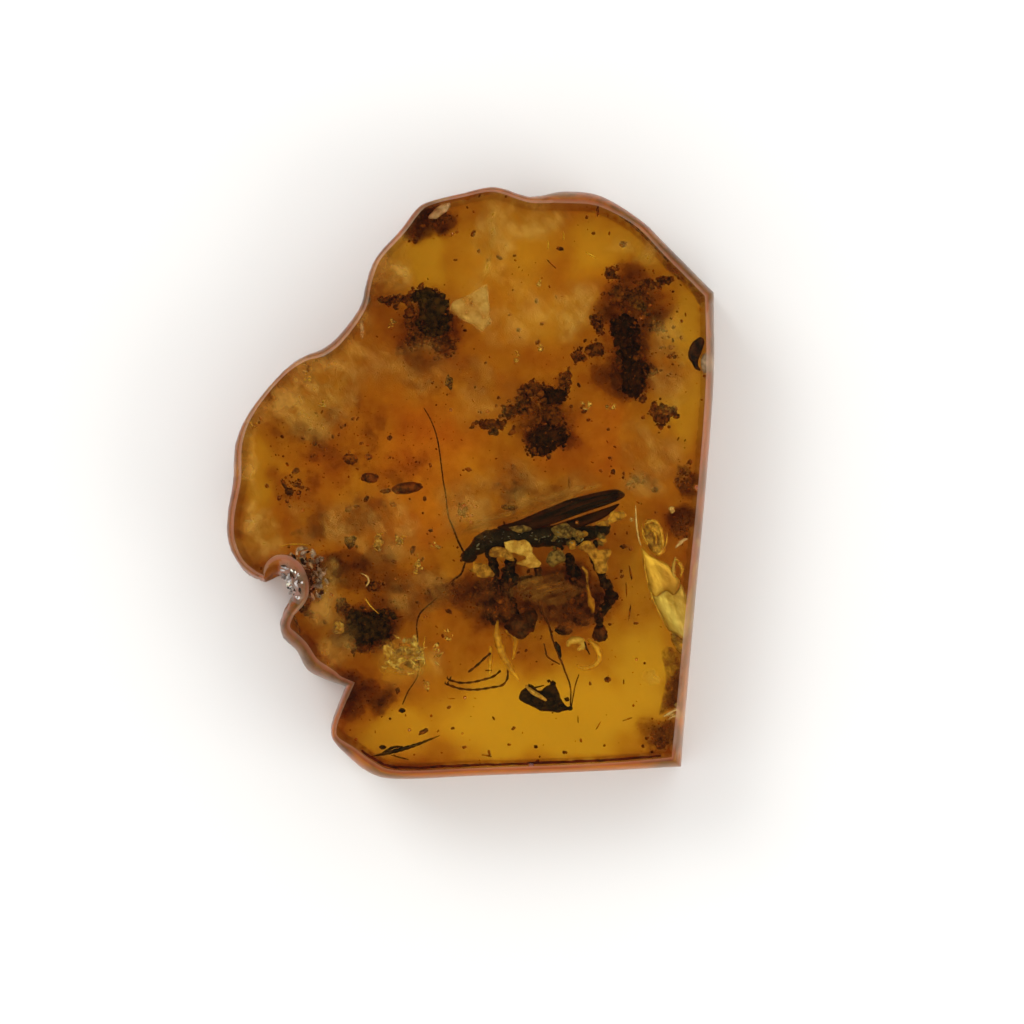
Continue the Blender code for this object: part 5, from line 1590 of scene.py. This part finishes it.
# %% A broad layer of milk just under the polished face
MILKY_ZONES = (
    (-4.7, 11.6, 0.7, 0.9, 1.0), (-5.3, 10.2, 0.7, 1.2, 1.0), (-7.0, 7.1, 1.0, 0.6, 1.0),
    (-9.6, 5.3, 1.1, 0.7, 1.0), (-11.0, 3.2, 0.7, 1.0, 0.9), (-4.6, 11.0, 0.9, 1.5, 1.0),
    (-5.7, 8.4, 1.0, 1.8, 1.0), (-7.6, 6.3, 1.4, 1.0, 0.9), (-9.8, 4.6, 1.5, 1.5, 0.9),
    (-11.2, 1.0, 0.7, 3.0, 0.8), (-10.6, -2.6, 1.1, 1.0, 0.7), (-8.0, 4.4, 1.6, 1.9, 0.8),
    (-6.0, 5.4, 0.8, 2.2, 0.6), (1.0, 12.2, 0.7, 1.8, 0.6), (3.2, 13.2, 1.8, 0.8, 0.6),
    (2.0, 8.9, 2.6, 2.2, 0.35), (5.1, 8.6, 0.8, 1.8, 0.6), (8.6, 11.6, 1.6, 0.9, 0.6),
    (9.9, 6.5, 1.2, 2.6, 0.35), (-3.4, 5.8, 2.3, 1.4, 0.4), (-6.0, -1.8, 2.8, 1.5, 0.5),
    (-0.5, -1.2, 1.1, 1.4, 0.5), (-4.0, -2.8, 1.8, 1.2, 0.5), (-7.4, -5.6, 1.1, 1.4, 0.8),
    (-7.0, -7.8, 1.1, 1.3, 0.7), (-3.0, -8.6, 1.5, 1.2, 0.4), (2.6, -0.2, 3.0, 1.0, 0.35),
    (9.0, 1.6, 1.2, 1.2, 0.4), (-2.4, -5.4, 1.6, 1.2, 0.35), (0.6, 4.6, 1.8, 1.4, 0.25),
    (8.3, -0.3, 1.0, 0.8, 0.4),
)
MILK_LEVEL = 5.8
milk_mesh = bpy.data.meshes.new("milk_layer")
milk_levels = [MILK_LEVEL + 0.2 * noise.noise(Vector((p.x, p.y, 9)) / 3) for p in bed_points]
milk_mesh.from_pydata([(p.x * MM, p.y * MM, z * MM) for p, z in zip(bed_points, milk_levels)], [], bed_faces)
milk_bm = bmesh.new()
milk_bm.from_mesh(milk_mesh)
bpy.data.meshes.remove(milk_mesh)
milk_fade = milk_bm.verts.layers.float.new("fade")
for vert in milk_bm.verts:
    vert[milk_fade] = zone_share(vert.co.x / MM, vert.co.y / MM, MILKY_ZONES)
clear = [face for face in milk_bm.faces if max(vert[milk_fade] for vert in face.verts) < 0.02]
bmesh.ops.delete(milk_bm, geom=clear, context="FACES")
bmesh.ops.recalc_face_normals(milk_bm, faces=milk_bm.faces)
bmesh.ops.solidify(milk_bm, geom=milk_bm.faces[:], thickness=0.03 * MM)
milk_layer = finish_mesh(milk_bm, "milk_layer", (milk,))
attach(milk_layer, "root")
print("milk:", len(milk_layer.data.polygons), "faces")

# %% Where the veils hang
VEILS = (  # outline, height, finish, width of the soft edge
    (((-0.57, 9.16), (-0.08, 9.37), (0.34, 9.66), (0.67, 9.87), (0.84, 9.87), (0.90, 9.20), (0.97, 8.54),
      (0.93, 8.13), (0.79, 7.71), (0.50, 7.46), (0.17, 7.71), (-0.08, 7.88), (-0.57, 8.13), (-1.07, 8.54),
      (-0.91, 9.04)), 4.9, BEIGE, 0.12),
    (((0.85, 14.05), (1.25, 13.90), (1.40, 12.60), (1.25, 11.70), (1.10, 10.90), (0.75, 10.10),
      (0.30, 9.90), (0.55, 10.60), (0.70, 11.30), (0.80, 12.20), (0.75, 13.10)), 4.9, THIN, 0.25),
    (((-0.60, -2.60), (0.40, -1.60), (2.00, -0.90), (4.20, -0.40), (6.20, 0.10), (6.40, -0.25),
      (4.80, -0.90), (3.00, -1.60), (1.20, -2.20)), 4.7, STREAKED, 0.3),
    (ragged_oval(8.87, -9.64, 0.52, 0.50, 6), 4.6, THIN, 0.1),
    (ragged_oval(8.5, 11.2, 0.6, 0.5, 5), 4.6, THIN, 0.3),
    (ragged_oval(3.6, -5.2, 2.2, 0.9, 11), 4.9, STREAKED, 0.5),
    (ragged_oval(1.0, -5.6, 1.5, 1.5, 13), 4.8, ROTTEN, 0.5),
    (ragged_oval(4.8, -6.0, 2.2, 1.5, 14), 4.85, ROTTEN, 0.5),
    (ragged_oval(-1.0, -5.6, 1.6, 0.9, 15), 4.7, ROTTEN, 0.5),
    (((9.40, -8.30), (9.95, -8.10), (10.30, -8.70), (10.50, -9.60), (10.45, -10.80), (9.95, -11.20),
      (9.30, -11.50), (9.45, -10.60), (9.62, -9.60)), 4.6, ROTTEN, 0.12),
    (ragged_oval(10.55, 0.30, 0.62, 0.95, 16), 4.6, ROTTEN, 0.2),
    (ragged_oval(10.40, -2.10, 0.55, 0.8, 17), 4.6, ROTTEN, 0.2),
    (ragged_oval(8.0, 6.2, 1.2, 2.4, 18), 3.0, ROTTEN, 0.7),
    (ragged_oval(3.7, 3.2, 1.6, 1.9, 19), 3.0, ROTTEN, 0.8),
    (ragged_oval(-1.65, 13.15, 0.70, 0.55, 22), 5.0, ROTTEN, 0.25),
    (ragged_oval(-2.95, 12.40, 0.60, 0.60, 23), 5.0, ROTTEN, 0.25),
    (ragged_oval(9.50, -12.60, 0.90, 0.90, 24), 4.6, ROTTEN, 0.35),
    (ragged_oval(-3.40, -8.60, 1.40, 1.10, 25), 4.6, THIN, 0.3),
    (ragged_oval(-7.70, -4.50, 0.70, 1.20, 26), 5.5, ROTTEN, 0.3),
    (ragged_oval(-9.40, 4.15, 0.36, 0.40, 27), 5.4, ROTTEN, 0.15),
    (ragged_oval(-8.60, -2.50, 0.50, 0.28, 28), 5.4, ROTTEN, 0.15),
    (ragged_oval(-5.40, 7.60, 0.13, 0.72, 29), 6.2, BEIGE, 0.10),
    (((9.55, 11.10), (10.35, 10.50), (11.10, 9.80), (11.55, 9.30), (11.55, 8.60), (11.20, 8.90),
      (10.80, 9.60), (10.10, 10.20), (9.50, 10.70)), 5.8, ROTTEN, 0.12),
    (ragged_oval(-5.2, -7.2, 1.6, 1.2, 20), 3.0, ROTTEN, 0.6),
    (ragged_oval(-2.0, 8.0, 1.2, 1.7, 21), 3.0, ROTTEN, 0.7),
)
veil_bm = bmesh.new()
fade = veil_bm.verts.layers.float.new("fade")
for number, (corners, level, finish, soft) in enumerate(VEILS):
    known = set(veil_bm.verts)
    pad(veil_bm, corners, level, 0.03, soft, 0.10, 1.5, step=0.12, slot=finish, seed=number + 90)
    loop = smooth_loop(corners, 0.12)
    for vert in veil_bm.verts:
        if vert not in known:
            gap = np.linalg.norm(loop - np.array(vert.co.xy) / MM, axis=1).min()
            vert[fade] = min(1.0, gap / soft)
veils = finish_mesh(veil_bm, "veils", (veil_beige, veil_thin, veil_streaked, veil_brown))
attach(veils, "root")
print("veils:", len(veils.data.polygons), "faces")

# %% Finishes named in the record
SLOTS = {"amber_resin": [amber], "insect_shell": [insect], "plant_debris": [flake, splinter], "frass": []}
for thing in bpy.data.objects:
    if thing.name.endswith("_dropping"):
        SLOTS["frass"].append(thing)
    elif thing.name.endswith("_rot") and thing is not flake:
        SLOTS["plant_debris"].append(thing)
for slot_name, things in SLOTS.items():
    print(slot_name + ":", len(things), "pieces")
